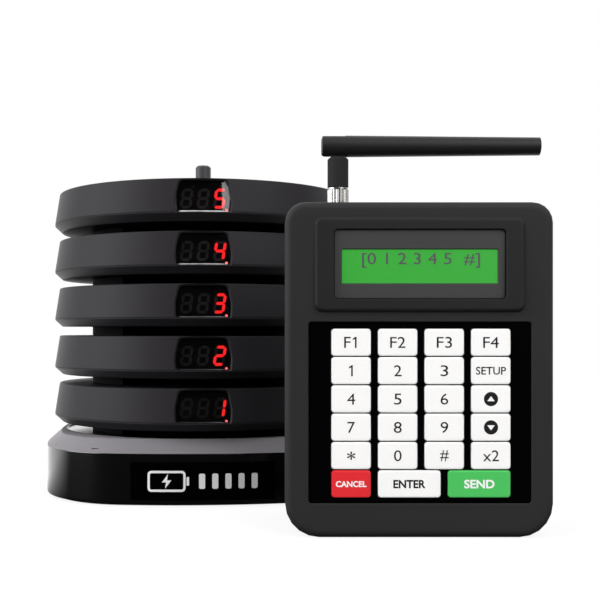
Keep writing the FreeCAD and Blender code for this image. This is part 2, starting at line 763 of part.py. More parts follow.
def base_housing():
    """The housing: bowed-square wall, wide sloped rim, round dish, hollow from below, label recess."""
    body = new_body("base_housing_shell", turn="stack_turn", part=False)
    plan = draw(body, "housing_plan", "XY_Plane", bowed_square("0"), lift="sole_thickness")
    wall = pad(body, plan, f"{BASE_TOP} - sole_thickness")
    top = at_level(BASE_TOP)
    chamfer(body, "sloped_rim", wall, top, "base_rim_rise", "base_rim_width")
    dish = f"{BASE_HALF} - base_rim_width - base_lip"
    prism(body, "dish", "Subtractive", WALL_SIDES, dish, SEAT, f"base_dish_depth + {PAST}")
    hollow = draw(body, "hollow", "XY_Plane", hollow_outline("0"), lift="sole_thickness")
    pocket(body, hollow, f"{ROOF} - sole_thickness", backwards=True)
    hole = "post_radius + post_hole_gap"
    prism(body, "post_hole", "Subtractive", BOSS_SIDES, hole, ROOF, f"base_roof + {PAST}")
    block(
        body,
        "inlet_hole",
        "Subtractive",
        "-inlet_width / 2 - inlet_gap",
        f"{BASE_HOLLOW} - {PAST}",
        f"{BASE_BOARD_TOP} - inlet_gap",
        "inlet_width + 2 * inlet_gap",
        f"base_wall + 2 * {PAST}",
        "inlet_height + 2 * inlet_gap",
    )
    recess = bowed_plate("label_recess", "label_gap", "(label_thickness + label_gap)", f"(-{PAST})")
    housing = doc.addObject("Part::Cut", "base_housing")
    housing.Label = "base_housing"
    housing.Base = body
    housing.Tool = recess
    parts.append(housing)
    doc.recompute()


def bowed_plate(name, gap, depth, face):
    """A plate bent to the front's bow, from a depth behind the wall's face to another."""
    outer = doc.addObject("Part::Cylinder", f"{name}_outer")
    inner = doc.addObject("Part::Cylinder", f"{name}_inner")
    bottom = f"(label_bottom - {gap})"
    height = f"(label_height + 2 * {gap})"
    for thing, radius in ((outer, face), (inner, depth)):
        place(thing, "0", BOW, bottom)
        thing.setExpression("Radius", bound(f"base_side_radius - {radius}"))
        thing.setExpression("Height", bound(height))
    ring = doc.addObject("Part::Cut", f"{name}_ring")
    ring.Base = outer
    ring.Tool = inner
    window = solid_box(
        f"{name}_window",
        f"-label_width / 2 - {gap}",
        f"-{BASE_HALF} - {PAST}",
        bottom,
        f"label_width + 2 * {gap}",
        "base_wall",
        height,
    )
    plate = doc.addObject("Part::Common", name)
    plate.Base = ring
    plate.Tool = window
    place(plate, turn="stack_turn")
    doc.recompute()
    return plate


def base_label_plate():
    """The label: a thin bent plate let into the front, left plain."""
    plate = bowed_plate("base_label_plate", "0", "label_thickness", "0")
    plate.Label = "base_label_plate"
    parts.append(plate)


def base_charge_post():
    """The post that the lowest pager plugs on, with the stem that stands on the charge board."""
    body = new_body("base_charge_post", turn="stack_turn")
    height = f"{ROOF} - {BASE_BOARD_TOP}"
    prism(body, "stem", "Additive", BOSS_SIDES, "stem_radius", BASE_BOARD_TOP, height)
    post(body, ROOF, SEAT)


def inlet_block(name, along):
    """A power inlet: a block with a blind round socket. It looks along +Y, or along +X."""
    body = new_body(name, part=False)
    if along == "Y":
        block(
            body,
            f"{name}_block",
            "Additive",
            "-inlet_width / 2",
            "-inlet_length",
            "0",
            "inlet_width",
            "inlet_length",
            "inlet_height",
        )
        role, x, y, lift = "XZ_Plane", "0", "inlet_height / 2", "0"
    else:
        block(
            body,
            f"{name}_block",
            "Additive",
            "-inlet_length",
            "0",
            "-inlet_height / 2",
            "inlet_length",
            "inlet_width",
            "inlet_height",
        )
        role, x, y, lift = "YZ_Plane", "inlet_width / 2", "0", "-inlet_depth"
    cylinder(
        body, f"{name}_socket", "Subtractive", role, x, y, lift, "inlet_bore", "inlet_depth"
    )
    return body


def base_board():
    """The charge board, with the power inlet that looks out of the back."""
    sheet_of_board = solid_box(
        "base_board_sheet",
        "-base_board_width / 2",
        "-base_board_front",
        BASE_BOARD,
        "base_board_width",
        f"base_board_front + {BASE_HOLLOW} - base_board_gap",
        "base_board_thickness",
    )
    inlet = inlet_block("base_inlet", "Y")
    place(inlet, "0", INLET_MOUTH, BASE_BOARD_TOP)
    group("base_board", [sheet_of_board, inlet], turn="stack_turn")


# The console, face at Y 0 of its own frame.


def console_body(label, x="0", z="0", part=True):
    return new_body(label, f"console_x + {x}", CONSOLE_Y, z, part=part)


def surround_outline(gap):
    """The display surround from the front, or its recess with a gap round it."""
    return broken(
        f"(-surround_width / 2 - {gap})",
        f"(surround_width / 2 + {gap})",
        f"({SURROUND_BOTTOM} - {gap})",
        f"({SURROUND_BOTTOM} + surround_height + {gap})",
        "surround_corner",
    )


def panel_outline(gap):
    """The key panel from the front, or its recess with a gap round it."""
    return broken(
        f"(-panel_width / 2 - {gap})",
        f"(panel_width / 2 + {gap})",
        f"(panel_bottom - {gap})",
        f"(panel_bottom + panel_height + {gap})",
        "panel_corner",
    )


def console_front_shell():
    """The face: rounded slab, hollow behind, with the raised bezel, its recess and the key recess."""
    body = console_body("console_front_shell")
    half = "(console_width / 2)"
    face = draw(
        body,
        "console_face",
        "XZ_Plane",
        rounded(f"-{half}", half, "0", "console_height", "console_low_radius", "console_high_radius"),
    )
    slab = pad(body, face, "front_depth", backwards=True)
    chamfer(body, "face_edge", slab, lambda point: abs(point.y) < 1e-4, "console_edge")
    bezel(body)
    w = "console_wall"
    inside = draw(
        body,
        "console_inside",
        "XZ_Plane",
        broken(
            f"(-{half} + {w})",
            f"({half} - {w})",
            w,
            f"(console_height - {w})",
            "console_hollow_corner",
        ),
        lift="-console_wall",
    )
    pocket(body, inside, f"front_depth - console_wall + {PAST}")
    outline = surround_outline("surround_gap")
    recess = draw(body, "surround_recess", "XZ_Plane", outline, lift="2 * bezel_low_rise")
    pocket(body, recess, f"2 * bezel_low_rise + {SURROUND_BACK}")
    opening = draw(
        body,
        "screen_opening",
        "XZ_Plane",
        rectangle(
            "-screen_width / 2 - screen_margin",
            "screen_width / 2 + screen_margin",
            f"{SCREEN_BOTTOM} - screen_margin",
            f"{SCREEN_BOTTOM} + screen_height + screen_margin",
        ),
        lift=f"-{SURROUND_BACK}",
    )
    pocket(body, opening, "console_wall")
    recess = draw(body, "panel_recess", "XZ_Plane", panel_outline("panel_gap"))
    pocket(body, recess, PANEL_BACK)
    opening = draw(
        body,
        "key_opening",
        "XZ_Plane",
        rectangle(
            f"{KEYS_LEFT} - mat_margin - mat_gap",
            f"{KEYS_RIGHT} + mat_margin + mat_gap",
            "panel_bottom + panel_ledge",
            "panel_bottom + panel_height - panel_ledge",
        ),
        lift=f"-{PANEL_BACK}",
    )
    pocket(body, opening, "console_wall")
    inlet_notch(body, half, "console_wall", f"({BOARD_BACK} - inlet_gap)", "front_depth")


def inlet_notch(body, half, wall, low, high):
    """The power inlet's opening in the right-hand wall, which the two shells share."""
    block(
        body,
        f"{body.Name}_inlet",
        "Subtractive",
        f"{half} - {wall} - {PAST}",
        low,
        "console_inlet_height - inlet_height / 2 - inlet_gap",
        f"{wall} + 2 * {PAST}",
        f"{high} - {low}",
        "inlet_height + 2 * inlet_gap",
    )


def bezel(body):
    """The raised bezel: a loft whose front leans out towards its lower edge."""
    low = draw(
        body,
        "bezel_foot",
        "XZ_Plane",
        rounded("-bezel_width / 2", "bezel_width / 2", "bezel_bottom", BEZEL_TOP, "bezel_corner"),
        lift="-console_wall / 2",
    )
    front = draw(
        body,
        "bezel_front",
        "XZ_Plane",
        rounded(
            "(-bezel_width / 2 + bezel_slope)",
            "(bezel_width / 2 - bezel_slope)",
            "(-bezel_height / 2 + bezel_slope)",
            "(bezel_height / 2 - bezel_slope)",
            "bezel_corner",
        ),
    )
    lean = "atan((bezel_low_rise - bezel_high_rise) / bezel_height)"
    front.AttachmentOffset = FreeCAD.Placement(
        FreeCAD.Vector(), FreeCAD.Rotation(FreeCAD.Vector(1, 0, 0), -value(lean))
    )
    front.setExpression(".AttachmentOffset.Base.x", "0")
    front.setExpression(".AttachmentOffset.Base.y", bound("bezel_bottom + bezel_height / 2"))
    front.setExpression(
        ".AttachmentOffset.Base.z", bound("(bezel_low_rise + bezel_high_rise) / 2")
    )
    loft = body.newObject("PartDesign::AdditiveLoft", "bezel_loft")
    loft.Profile = low
    loft.Sections = [front]
    loft.Ruled = True
    doc.recompute()


def console_rear_shell():
    """The back: a wedge that stands on the counter, with corner posts, screw recesses and an inlet."""
    body = console_body("console_rear_shell")
    s = "rear_step"
    outline = draw(
        body,
        "rear_outline",
        "XZ_Plane",
        rounded(
            f"(-{REAR_HALF})",
            REAR_HALF,
            "0",
            REAR_TOP,
            f"(console_low_radius - {s})",
            f"(console_high_radius - {s})",
        ),
        lift="-front_depth",
    )
    pad(body, outline, "foot_depth - front_depth", backwards=True)
    wedge = draw(
        body,
        "rear_slope",
        "YZ_Plane",
        [
            ("foot_depth", "heel_height"),
            (f"foot_depth + {PAST}", "heel_height"),
            (f"foot_depth + {PAST}", f"{REAR_TOP} + {PAST}"),
            ("top_depth", f"{REAR_TOP} + {PAST}"),
            ("top_depth", REAR_TOP),
        ],
        lift="console_width / 2",
    )
    pocket(body, wedge, "console_width")
    hollows = (
        ("middle", f"({REAR_HALF} - post_block)", "rear_wall", f"({REAR_TOP} - rear_wall)"),
        ("side", f"({REAR_HALF} - rear_wall)", "post_block", f"({REAR_TOP} - post_block)"),
    )
    slope = f"((foot_depth - top_depth) / ({REAR_TOP} - heel_height))"
    back = "(foot_depth - rear_wall)"
    for name, half, low, high in hollows:
        hollow = draw(
            body,
            f"rear_{name}",
            "YZ_Plane",
            [
                ("front_depth", low),
                (back, low),
                (back, "heel_height"),
                (f"{back} - ({high} - heel_height) * {slope}", high),
                ("front_depth", high),
            ],
            lift=half,
        )
        pocket(body, hollow, f"2 * {half}")
    for side in ("-", ""):
        for end, z in (("low", "screw_inset"), ("high", f"({REAR_TOP} - screw_inset)")):
            prism(
                body,
                f"screw_recess_{end}_{'left' if side else 'right'}",
                "Subtractive",
                BOSS_SIDES,
                "screw_recess_radius",
                f"-foot_depth - {PAST}",
                f"foot_depth - front_depth - screw_recess_end + {PAST}",
                role="XZ_Plane",
                x=f"{side}({REAR_HALF} - screw_inset)",
                y=z,
            )
    prism(
        body,
        "antenna_hole",
        "Subtractive",
        BOSS_SIDES,
        "shank_radius + shank_gap",
        f"{REAR_TOP} - rear_wall - {PAST}",
        f"rear_wall + 2 * {PAST}",
        x="antenna_x",
        y="antenna_y",
    )
    inlet_end = f"({BOARD_BACK} + inlet_width + inlet_gap)"
    inlet_notch(body, REAR_HALF, "rear_wall", "front_depth", inlet_end)


def display_surround():
    """The grey plate round the display, set in the bezel's recess."""
    body = console_body("display_surround")
    outline = draw(
        body, "surround_plate", "XZ_Plane", surround_outline("0"), lift="-surround_face"
    )
    pad(body, outline, "surround_thickness", backwards=True)
    g = "screen_gap"
    window = draw(
        body,
        "surround_window",
        "XZ_Plane",
        rectangle(
            f"-screen_width / 2 - {g}",
            f"screen_width / 2 + {g}",
            f"{SCREEN_BOTTOM} - {g}",
            f"{SCREEN_BOTTOM} + screen_height + {g}",
        ),
        lift="-surround_face",
    )
    pocket(body, window, f"surround_thickness + {PAST}")


def display_module():
    """The display: glass that fills the window, on a wider block that stands on the main board."""
    body = console_body("display_module")
    f = "screen_frame"
    block(
        body,
        "display_block",
        "Additive",
        f"-screen_width / 2 - {f}",
        "console_wall",
        f"{SCREEN_BOTTOM} - {f}",
        f"screen_width + 2 * {f}",
        f"{BOARD} - console_wall",
        f"screen_height + 2 * {f}",
    )
    block(
        body,
        "display_glass",
        "Additive",
        "-screen_width / 2",
        "screen_face",
        SCREEN_BOTTOM,
        "screen_width",
        "console_wall - screen_face",
        "screen_height",
    )


def keypad_panel():
    """The gloss plate round the keys. The rows of a column share one slot."""
    body = console_body("keypad_panel")
    outline = draw(body, "panel_plate", "XZ_Plane", panel_outline("0"), lift="-panel_face")
    pad(body, outline, "panel_thickness", backwards=True)
    top = "keys_top + key_gap"
    low = f"{KEYS_BOTTOM} - key_gap"
    left_slot = rectangle(
        f"{KEYS_LEFT} - key_gap", f"{KEYS_LEFT} + key_width + key_gap", low, top
    )
    lefts = [f"{KEYS_LEFT} + {column} * key_pitch_x - key_gap" for column in range(4)]
    rights = [f"{KEYS_LEFT} + {column} * key_pitch_x + key_width + key_gap" for column in range(4)]
    web_foot = "keys_top - 4 * key_pitch_z - key_length - key_gap"
    web_tip = "keys_top - 5 * key_pitch_z + key_gap"
    enter_right = f"{lefts[1]} + wide_key_width + 2 * key_gap"
    send_left = f"{rights[3]} - wide_key_width - 2 * key_gap"
    joined_slot = [
        (lefts[1], low),
        (enter_right, low),
        (enter_right, web_foot),
        (send_left, web_foot),
        (send_left, low),
        (rights[3], low),
        (rights[3], top),
        (lefts[3], top),
        (lefts[3], web_tip),
        (rights[2], web_tip),
        (rights[2], top),
        (lefts[2], top),
        (lefts[2], web_tip),
        (rights[1], web_tip),
        (rights[1], top),
        (lefts[1], top),
    ]
    for name, corners in (("slot_left", left_slot), ("slot_joined", joined_slot)):
        slot = draw(body, name, "XZ_Plane", corners, lift="-panel_face")
        pocket(body, slot, f"panel_thickness + {PAST}")


def key_places():
    """Each key's name, its middle from the console's middle and from the counter, and its width."""
    names = [
        ["f1", "f2", "f3", "f4"],
        ["1", "2", "3", "setup"],
        ["4", "5", "6", "up"],
        ["7", "8", "9", "down"],
        ["star", "0", "hash", "x2"],
    ]
    places = []
    for row, line in enumerate(names):
        z = f"(keys_top - {row} * key_pitch_z - key_length / 2)"
        for column, name in enumerate(line):
            x = f"({KEYS_LEFT} + {column} * key_pitch_x + key_width / 2)"
            places.append((f"key_{name}", x, z, "key_width"))
    z = f"({KEYS_BOTTOM} + key_length / 2)"
    places.append(("key_cancel", f"({KEYS_LEFT} + key_width / 2)", z, "key_width"))
    enter = f"({KEYS_LEFT} + key_pitch_x + wide_key_width / 2)"
    places.append(("key_enter", enter, z, "wide_key_width"))
    places.append(("key_send", f"({KEYS_RIGHT} - wide_key_width / 2)", z, "wide_key_width"))
    return places


def keycap(name, width):
    """A keycap on a plate that sticks out at its sides, which holds it behind the panel."""
    body = new_body(name, part=False)
    half = f"({width} / 2)"
    end = "(key_length / 2)"
    outline = broken(f"(-{half})", half, f"(-{end})", end, "key_corner")
    cap = draw(body, f"{name}_cap", "XZ_Plane", outline, lift=f"-{KEY_TOP}")
    pad(body, cap, f"{FLANGE} - {KEY_TOP}", backwards=True)
    block(
        body,
        f"{name}_flange",
        "Additive",
        f"-{width} / 2 - flange_reach",
        FLANGE,
        "-key_length / 2 + key_corner",
        f"{width} + 2 * flange_reach",
        "flange_thickness",
        "key_length - 2 * key_corner",
    )
    return body


def keypad_mat(places):
    """The silicone mat, with a dome behind each key."""
    sheet_of_mat = solid_box(
        "mat_sheet",
        f"{KEYS_LEFT} - mat_margin",
        MAT,
        KEYS_BOTTOM,
        f"{KEYS_RIGHT} - {KEYS_LEFT} + 2 * mat_margin",
        "mat_thickness",
        f"keys_top - {KEYS_BOTTOM}",
    )
    domes = [
        solid_box(
            f"dome_{name}",
            f"{x} - dome_width / 2",
            DOME_TOP,
            f"{z} - dome_length / 2",
            "dome_width",
            "dome_height",
            "dome_length",
        )
        for name, x, z, width in places
    ]
    mat = doc.addObject("Part::MultiFuse", "keypad_mat")
    mat.Label = "keypad_mat"
    mat.Shapes = [sheet_of_mat] + domes
    place(mat, "console_x", CONSOLE_Y)
    parts.append(mat)
    doc.recompute()


def console_board():
    """The main board, the radio block behind it, and the power inlet in the right-hand wall."""
    sheet_of_board = solid_box(
        "main_board_sheet",
        "-main_board_width / 2",
        BOARD,
        "main_board_bottom",
        "main_board_width",
        "main_board_thickness",
        "main_board_height",
    )
    radio = solid_box(
        "radio_block",
        "antenna_x - shank_radius",
        BOARD_BACK,
        "main_board_bottom + main_board_height - radio_height - radio_inset",
        "radio_width",
        "radio_thickness",
        "radio_height",
    )
    inlet = inlet_block("console_inlet", "X")
    place(inlet, f"{REAR_HALF} - inlet_setback", BOARD_BACK, "console_inlet_height")
    group("console_board", [sheet_of_board, radio, inlet], "console_x", CONSOLE_Y)


# The antenna. Its round pieces are many-sided too, but for its pivots.
ARM_SIDES = 16


def antenna_body(label, z="0"):
    return new_body(label, "console_x + antenna_x", f"{CONSOLE_Y} + antenna_y", z)


def antenna_connector():
    """The bright connector: shank through the shell, body on it, and the stub that the sleeve turns on."""
    body = antenna_body("antenna_connector")
    base = f"{REAR_TOP} - shank_length"
    prism(body, "shank", "Additive", BOSS_SIDES, "shank_radius", base, "shank_length")
    height = "connector_height"
    prism(body, "connector", "Additive", ARM_SIDES, "connector_radius", REAR_TOP, height)
    cylinder(
        body, "stub", "Additive", "XY_Plane", "0", "0", STUB_BASE, "connector_stub", "stub_height"
    )


def antenna_swivel():
    """The sleeve that turns on the connector, with the flat neck that carries the hinge."""
    body = antenna_body("antenna_swivel")
    height = "sleeve_height"
    sleeve = prism(body, "sleeve", "Additive", ARM_SIDES, "sleeve_radius", SLEEVE_BASE, height)
    chamfer(body, "sleeve_shoulder", sleeve, at_level(SLEEVE_TOP), "sleeve_edge")
    bore = "connector_stub + swivel_gap"
    cylinder(
        body, "sleeve_bore", "Subtractive", "XY_Plane", "0", "0", SLEEVE_BASE, bore, "stub_height"
    )
    neck = draw(
        body,
        "neck",
        "XZ_Plane",
        [
            ("-neck_left", f"{SLEEVE_TOP} - sleeve_edge"),
            ("neck_right", f"{SLEEVE_TOP} - sleeve_edge"),
            ("neck_right", f"{HINGE} - hinge_rise / 2"),
            ("hinge_x + neck_head", HINGE, "neck_head"),
            ("hinge_x", f"{HINGE} + neck_head", "neck_head"),
            ("hinge_x - neck_head", HINGE),
            ("-neck_left", f"{HINGE} - hinge_rise / 2"),
        ],
        lift="neck_thickness / 2",
    )
    pad(body, neck, "neck_thickness", backwards=True)
    cylinder(
        body,
        "hinge_hole",
        "Subtractive",
        "XZ_Plane",
        "hinge_x",
        HINGE,
        "-neck_thickness",
        "hinge_pin + pin_gap",
        "2 * neck_thickness",
    )


def antenna_arm():
    """The arm: a tapering rod with a broken tip, forked at the heel, with the pin across its ears.

    The heel's lower corner is rounded about the hinge, so that it clears the sleeve as the arm folds up.
    """
    body = antenna_body("antenna_arm", ARM_AXIS)
    length = "arm_heel + arm_reach"
    rod = prism(body, "rod", "Additive", ARM_SIDES, "arm_radius", "-arm_heel", length, role="YZ_Plane")
    tip = value("arm_reach")

    def at_tip(point):
        return abs(point.x - tip) < 1e-4

    taper = chamfer(body, "rod_taper", rod, at_tip, "arm_reach", "arm_taper")
    chamfer(body, "rod_nose", taper, at_tip, "arm_nose")
    block(
        body,
        "neck_slot",
        "Subtractive",
        f"-arm_heel - {PAST}",
        "-neck_thickness / 2 - ear_gap",
        f"-arm_radius - {PAST}",
        f"arm_heel + {PAST} + neck_right + slot_gap",
        "neck_thickness + 2 * ear_gap",
        f"2 * (arm_radius + {PAST})",
    )
    swing = "(hinge_rise - heel_gap)"
    floor = f"-arm_radius - {PAST}"
    corner = [
        (f"hinge_x - {swing}", "-hinge_x", swing),
        ("hinge_x", f"-hinge_x - {swing}"),
        ("hinge_x", floor),
        (f"hinge_x - {swing}", floor),
    ]
    heel = draw(body, "heel_corner", "XZ_Plane", corner, lift=f"arm_radius + {PAST}")
    pocket(body, heel, f"2 * (arm_radius + {PAST})")
    cylinder(
        body,
        "hinge_pin_across",
        "Additive",
        "XZ_Plane",
        "hinge_x",
        "-hinge_x",
        "-hinge_pin_length / 2",
        "hinge_pin",
        "hinge_pin_length",
    )


pager_kinds = {
    "bottom_shell": [pager_bottom_shell()],
    "electronics": pager_electronics(),
    "window": [pager_window()],
    "top_shell": [pager_top_shell()],
}
for number in range(1, PAGERS + 1):
    seat = f"{SEAT} + {number - 1} * {PITCH}"
    for kind, members in pager_kinds.items():
        group(f"pager_{number}_{kind}", members, z=seat, turn="stack_turn")

base_sole()
base_bottom_plate()
base_housing()
base_label_plate()
base_charge_post()
base_board()

console_front_shell()
console_rear_shell()
display_surround()
display_module()
keypad_panel()
keycaps = {width: keycap(f"keycap_{width}", width) for width in ("key_width", "wide_key_width")}
key_list = key_places()
for key_name, key_x, key_z, key_size in key_list:
    group(key_name, [keycaps[key_size]], f"console_x + {key_x}", CONSOLE_Y, key_z)
keypad_mat(key_list)
console_board()
antenna_connector()
antenna_swivel()
antenna_arm()

doc.recompute()
for thing in doc.Objects:
    if "Invalid" in thing.State or "Error" in thing.State:
        raise ValueError(f"{thing.Label} failed: {thing.State}")
for thing in parts:
    if thing.Shape.isNull() or not thing.Shape.isValid() or not thing.Shape.Solids:
        raise ValueError(f"{thing.Label} has no valid shape")

os.makedirs("parts", exist_ok=True)
for thing in parts:
    thing.Shape.exportStep(f"parts/{thing.Label}.step")
print(f"{len(parts)} parts")
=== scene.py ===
"""Looks of a guest pager system: five round pagers on a charging base, and a keypad console.

The pieces are worked out in millimetres and written to their meshes in metres. A solid is a grid of
points, rows by columns: the columns go round an outline and the rows carry it along.
"""

import math

import bmesh
import bpy
import numpy as np
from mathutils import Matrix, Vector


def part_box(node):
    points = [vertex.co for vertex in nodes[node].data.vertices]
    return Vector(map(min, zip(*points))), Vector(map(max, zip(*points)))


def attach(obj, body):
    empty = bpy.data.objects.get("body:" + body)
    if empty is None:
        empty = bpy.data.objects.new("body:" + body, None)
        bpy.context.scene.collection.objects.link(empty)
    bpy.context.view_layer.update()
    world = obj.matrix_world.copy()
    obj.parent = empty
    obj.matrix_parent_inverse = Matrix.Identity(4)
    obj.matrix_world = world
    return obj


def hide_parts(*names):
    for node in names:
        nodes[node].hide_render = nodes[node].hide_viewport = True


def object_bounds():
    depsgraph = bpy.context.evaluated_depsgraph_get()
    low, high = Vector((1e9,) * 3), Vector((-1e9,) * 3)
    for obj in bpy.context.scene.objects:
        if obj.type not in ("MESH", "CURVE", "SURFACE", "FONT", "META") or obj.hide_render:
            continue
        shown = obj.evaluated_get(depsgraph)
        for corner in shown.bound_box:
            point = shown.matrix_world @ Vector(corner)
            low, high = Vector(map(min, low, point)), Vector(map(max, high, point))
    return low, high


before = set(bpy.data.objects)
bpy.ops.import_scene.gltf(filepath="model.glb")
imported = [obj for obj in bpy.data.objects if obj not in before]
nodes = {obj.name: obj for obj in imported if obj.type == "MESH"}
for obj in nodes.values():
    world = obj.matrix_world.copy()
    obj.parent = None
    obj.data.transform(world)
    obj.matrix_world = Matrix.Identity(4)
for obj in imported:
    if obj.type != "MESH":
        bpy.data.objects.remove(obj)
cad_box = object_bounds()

# ------------------------------------------------------------
# Table, room, lamps and camera: a white table and a white room, dim in front so that polished
# black stays black from there, and three large soft boxes that light the object.

MM = 0.001
TABLE_SIZE = 6000
TABLE_GREY = "747474"
SHADOW_NEAR, SHADOW_FAR = 250, 700
SHADOW_SHARE = 0.14
ROOM_LIGHT = 0.9
FRONT_DIM = 0.1
MIRROR_DIM, MIRROR_LIGHT = 0.02, 1.7
# Where dim grows to light: the first two in shares of a ray's way back, the third in metres.
ROOM_SWEEP = (-0.75, 0.15)
MIRROR_SWEEP = (0.1, 0.55)
TABLE_SWEEP = (-0.05, 0.01)
SOFT_BOX = 1400
LAMPS = [
    ("lamp_left", (-1500, -450, 700), 36.0),
    ("lamp_right", (900, -1100, 900), 24.0),
    ("lamp_over", (0, -300, 1500), 7.0),
]
CAMERA_PLACE = (24.3, -406, 60.4)
CAMERA_LENS = 60.88
CAMERA_SHIFT = (0.06, 0.05)
SENSOR_WIDTH = 36


def linear(colour):
    """An sRGB hex colour such as "a0b1c2" as linear red, green, blue and alpha."""
    parts = [int(colour[i : i + 2], 16) / 255 for i in (0, 2, 4)]
    parts = [c / 12.92 if c <= 0.04045 else ((c + 0.055) / 1.055) ** 2.4 for c in parts]
    return parts + [1.0]


def placed(name, data):
    """A new object of the data, linked to the scene."""
    thing = bpy.data.objects.new(name, data)
    bpy.context.scene.collection.objects.link(thing)
    return thing


def new_tree(name):
    """An empty node material and its tree."""
    material = bpy.data.materials.new(name)
    material.use_nodes = True
    material.node_tree.nodes.clear()
    return material, material.node_tree


def add(tree, kind, links=None, **settings):
    """Adds a shader node. links gives an input socket a number, a colour or a node's output."""
    node = tree.nodes.new("ShaderNode" + kind)
    for name, setting in settings.items():
        setattr(node, name, setting)
    for socket, given in (links or {}).items():
        if isinstance(given, bpy.types.NodeSocket):
            tree.links.new(given, node.inputs[socket])
        else:
            node.inputs[socket].default_value = given
    return node


def mirrored(tree, path):
    """1 where a reflection or a view through glass meets the surface, else 0."""
    both = {0: path.outputs["Is Glossy Ray"], 1: path.outputs["Is Transmission Ray"]}
    return add(tree, "Math", both, operation="MAXIMUM").outputs[0]


def ramp(tree, value, low, high, start=0.0, end=1.0):
    """From low to high while a value goes from start to end, and level beyond them."""
    given = {"Value": value, "From Min": start, "From Max": end, "To Min": low, "To Max": high}
    return add(tree, "MapRange", given).outputs[0]


def make_room():
    """The room as the world: white where it is seen, dim in front, and darker there in polish."""
    world = bpy.data.worlds.new("white_room")
    world.use_nodes = True
    tree = world.node_tree
    tree.nodes.clear()
    path = add(tree, "LightPath")
    way = add(tree, "TexCoord").outputs["Generated"]
    back = add(tree, "SeparateXYZ", {0: way}).outputs["Y"]
    around = ramp(tree, back, FRONT_DIM, 1.0, *ROOM_SWEEP)
    lit = add(tree, "Math", {0: around, 1: ROOM_LIGHT}, operation="MULTIPLY").outputs[0]
    behind = ramp(tree, back, MIRROR_DIM, MIRROR_LIGHT, *MIRROR_SWEEP)
    bright = add(tree, "Mix", {0: mirrored(tree, path), 2: lit, 3: behind}).outputs[0]
    seen = add(tree, "Math", {0: bright, 1: path.outputs["Is Camera Ray"]}, operation="MAXIMUM")
    sky = add(tree, "Background", {"Color": linear("ffffff"), "Strength": seen.outputs[0]})
    add(tree, "OutputWorld", {"Surface": sky.outputs[0]})
    bpy.context.scene.world = world


def make_table():
    """The table: white where it is seen, with a soft shadow by the object that fades far away."""
    half = TABLE_SIZE / 2 * MM
    corners = [(-half, -half, 0), (half, -half, 0), (half, half, 0), (-half, half, 0)]
    mesh = bpy.data.meshes.new("table")
    mesh.from_pydata(corners, [], [(0, 1, 2, 3)])
    table = placed("table", mesh)
    material, tree = new_tree("matt_white_table")
    path = add(tree, "LightPath")
    where = add(tree, "TexCoord").outputs["Object"]
    away = add(tree, "VectorMath", {0: where}, operation="LENGTH").outputs["Value"]
    share = ramp(tree, away, SHADOW_SHARE, 0.0, SHADOW_NEAR * MM, SHADOW_FAR * MM)
    matt = add(tree, "BsdfDiffuse", {"Color": linear("f4f4f4")}).outputs[0]
    white = add(tree, "Emission", {"Color": linear("ffffff"), "Strength": 1.0}).outputs[0]
    shown = add(tree, "MixShader", {0: share, 1: white, 2: matt}).outputs[0]
    back = add(tree, "SeparateXYZ", {0: where}).outputs["Y"]
    behind = ramp(tree, back, MIRROR_DIM, MIRROR_LIGHT, *TABLE_SWEEP)
    image = add(tree, "Emission", {"Color": linear("ffffff"), "Strength": behind}).outputs[0]
    grey = add(tree, "BsdfDiffuse", {"Color": linear(TABLE_GREY)}).outputs[0]
    unseen = add(tree, "MixShader", {0: mirrored(tree, path), 1: grey, 2: image}).outputs[0]
    mixed = add(tree, "MixShader", {0: path.outputs["Is Camera Ray"], 1: unseen, 2: shown})
    add(tree, "OutputMaterial", {"Surface": mixed.outputs[0]})
    mesh.materials.append(material)


def make_lamps():
    """Square soft boxes that look at the middle of the object."""
    aim = (cad_box[0] + cad_box[1]) / 2
    for name, place, power in LAMPS:
        data = bpy.data.lights.new(name, "AREA")
        data.size = SOFT_BOX * MM
        data.energy = power
        lamp = placed(name, data)
        lamp.location = [v * MM for v in place]
        lamp.rotation_euler = (aim - lamp.location).to_track_quat("-Z", "Y").to_euler()


def make_camera():
    """A level camera in front of the object."""
    data = bpy.data.cameras.new("camera")
    data.lens = CAMERA_LENS
    data.sensor_width = SENSOR_WIDTH
    data.shift_x, data.shift_y = CAMERA_SHIFT
    camera = placed("camera", data)
    camera.location = [v * MM for v in CAMERA_PLACE]
    camera.rotation_euler = (math.pi / 2, 0, 0)
    bpy.context.scene.camera = camera


make_room()
make_table()
make_lamps()
make_camera()
bpy.context.scene.view_settings.view_transform = "Standard"

# ------------------------------------------------------------
# Base, under side and inside: a black ABS plate, a green circuit board with the power inlet's black
# block, and the dark steel post that charges the first pager.

CLOUD_SIZE = 9
GLOSS_SPREAD = (0.88, 1.12)
PLASTIC_IOR = 1.54
BOARD_THREAD = 0.4
BASE_BLOCK = 45
RING_PITCH = 0.6 * math.pi
# Blender's wave texture turns through 20 radians in a unit of its scale.
WAVE_RADIANS = 20


def noise(tree, size, detail):
    """Noise from 0 to 1 over the object, its lumps of a size in millimetres."""
    where = add(tree, "TexCoord").outputs["Object"]
    given = {"Vector": where, "Scale": 1 / (size * MM), "Detail": detail}
    return add(tree, "TexNoise", given).outputs[0]


def checks(tree, size):
    """Checks of 0 and 1 over the object, of a size in millimetres."""
    where = add(tree, "TexCoord").outputs["Object"]
    return add(tree, "TexChecker", {"Vector": where, "Scale": 1 / (size * MM)}).outputs[1]


def blend(tree, share, low, high):
    """A colour from low to high by a share. Each is a hex colour, a list or a node's output."""
    low, high = (linear(end) if isinstance(end, str) else end for end in (low, high))
    return add(tree, "Mix", {0: share, 6: low, 7: high}, data_type="RGBA").outputs[2]


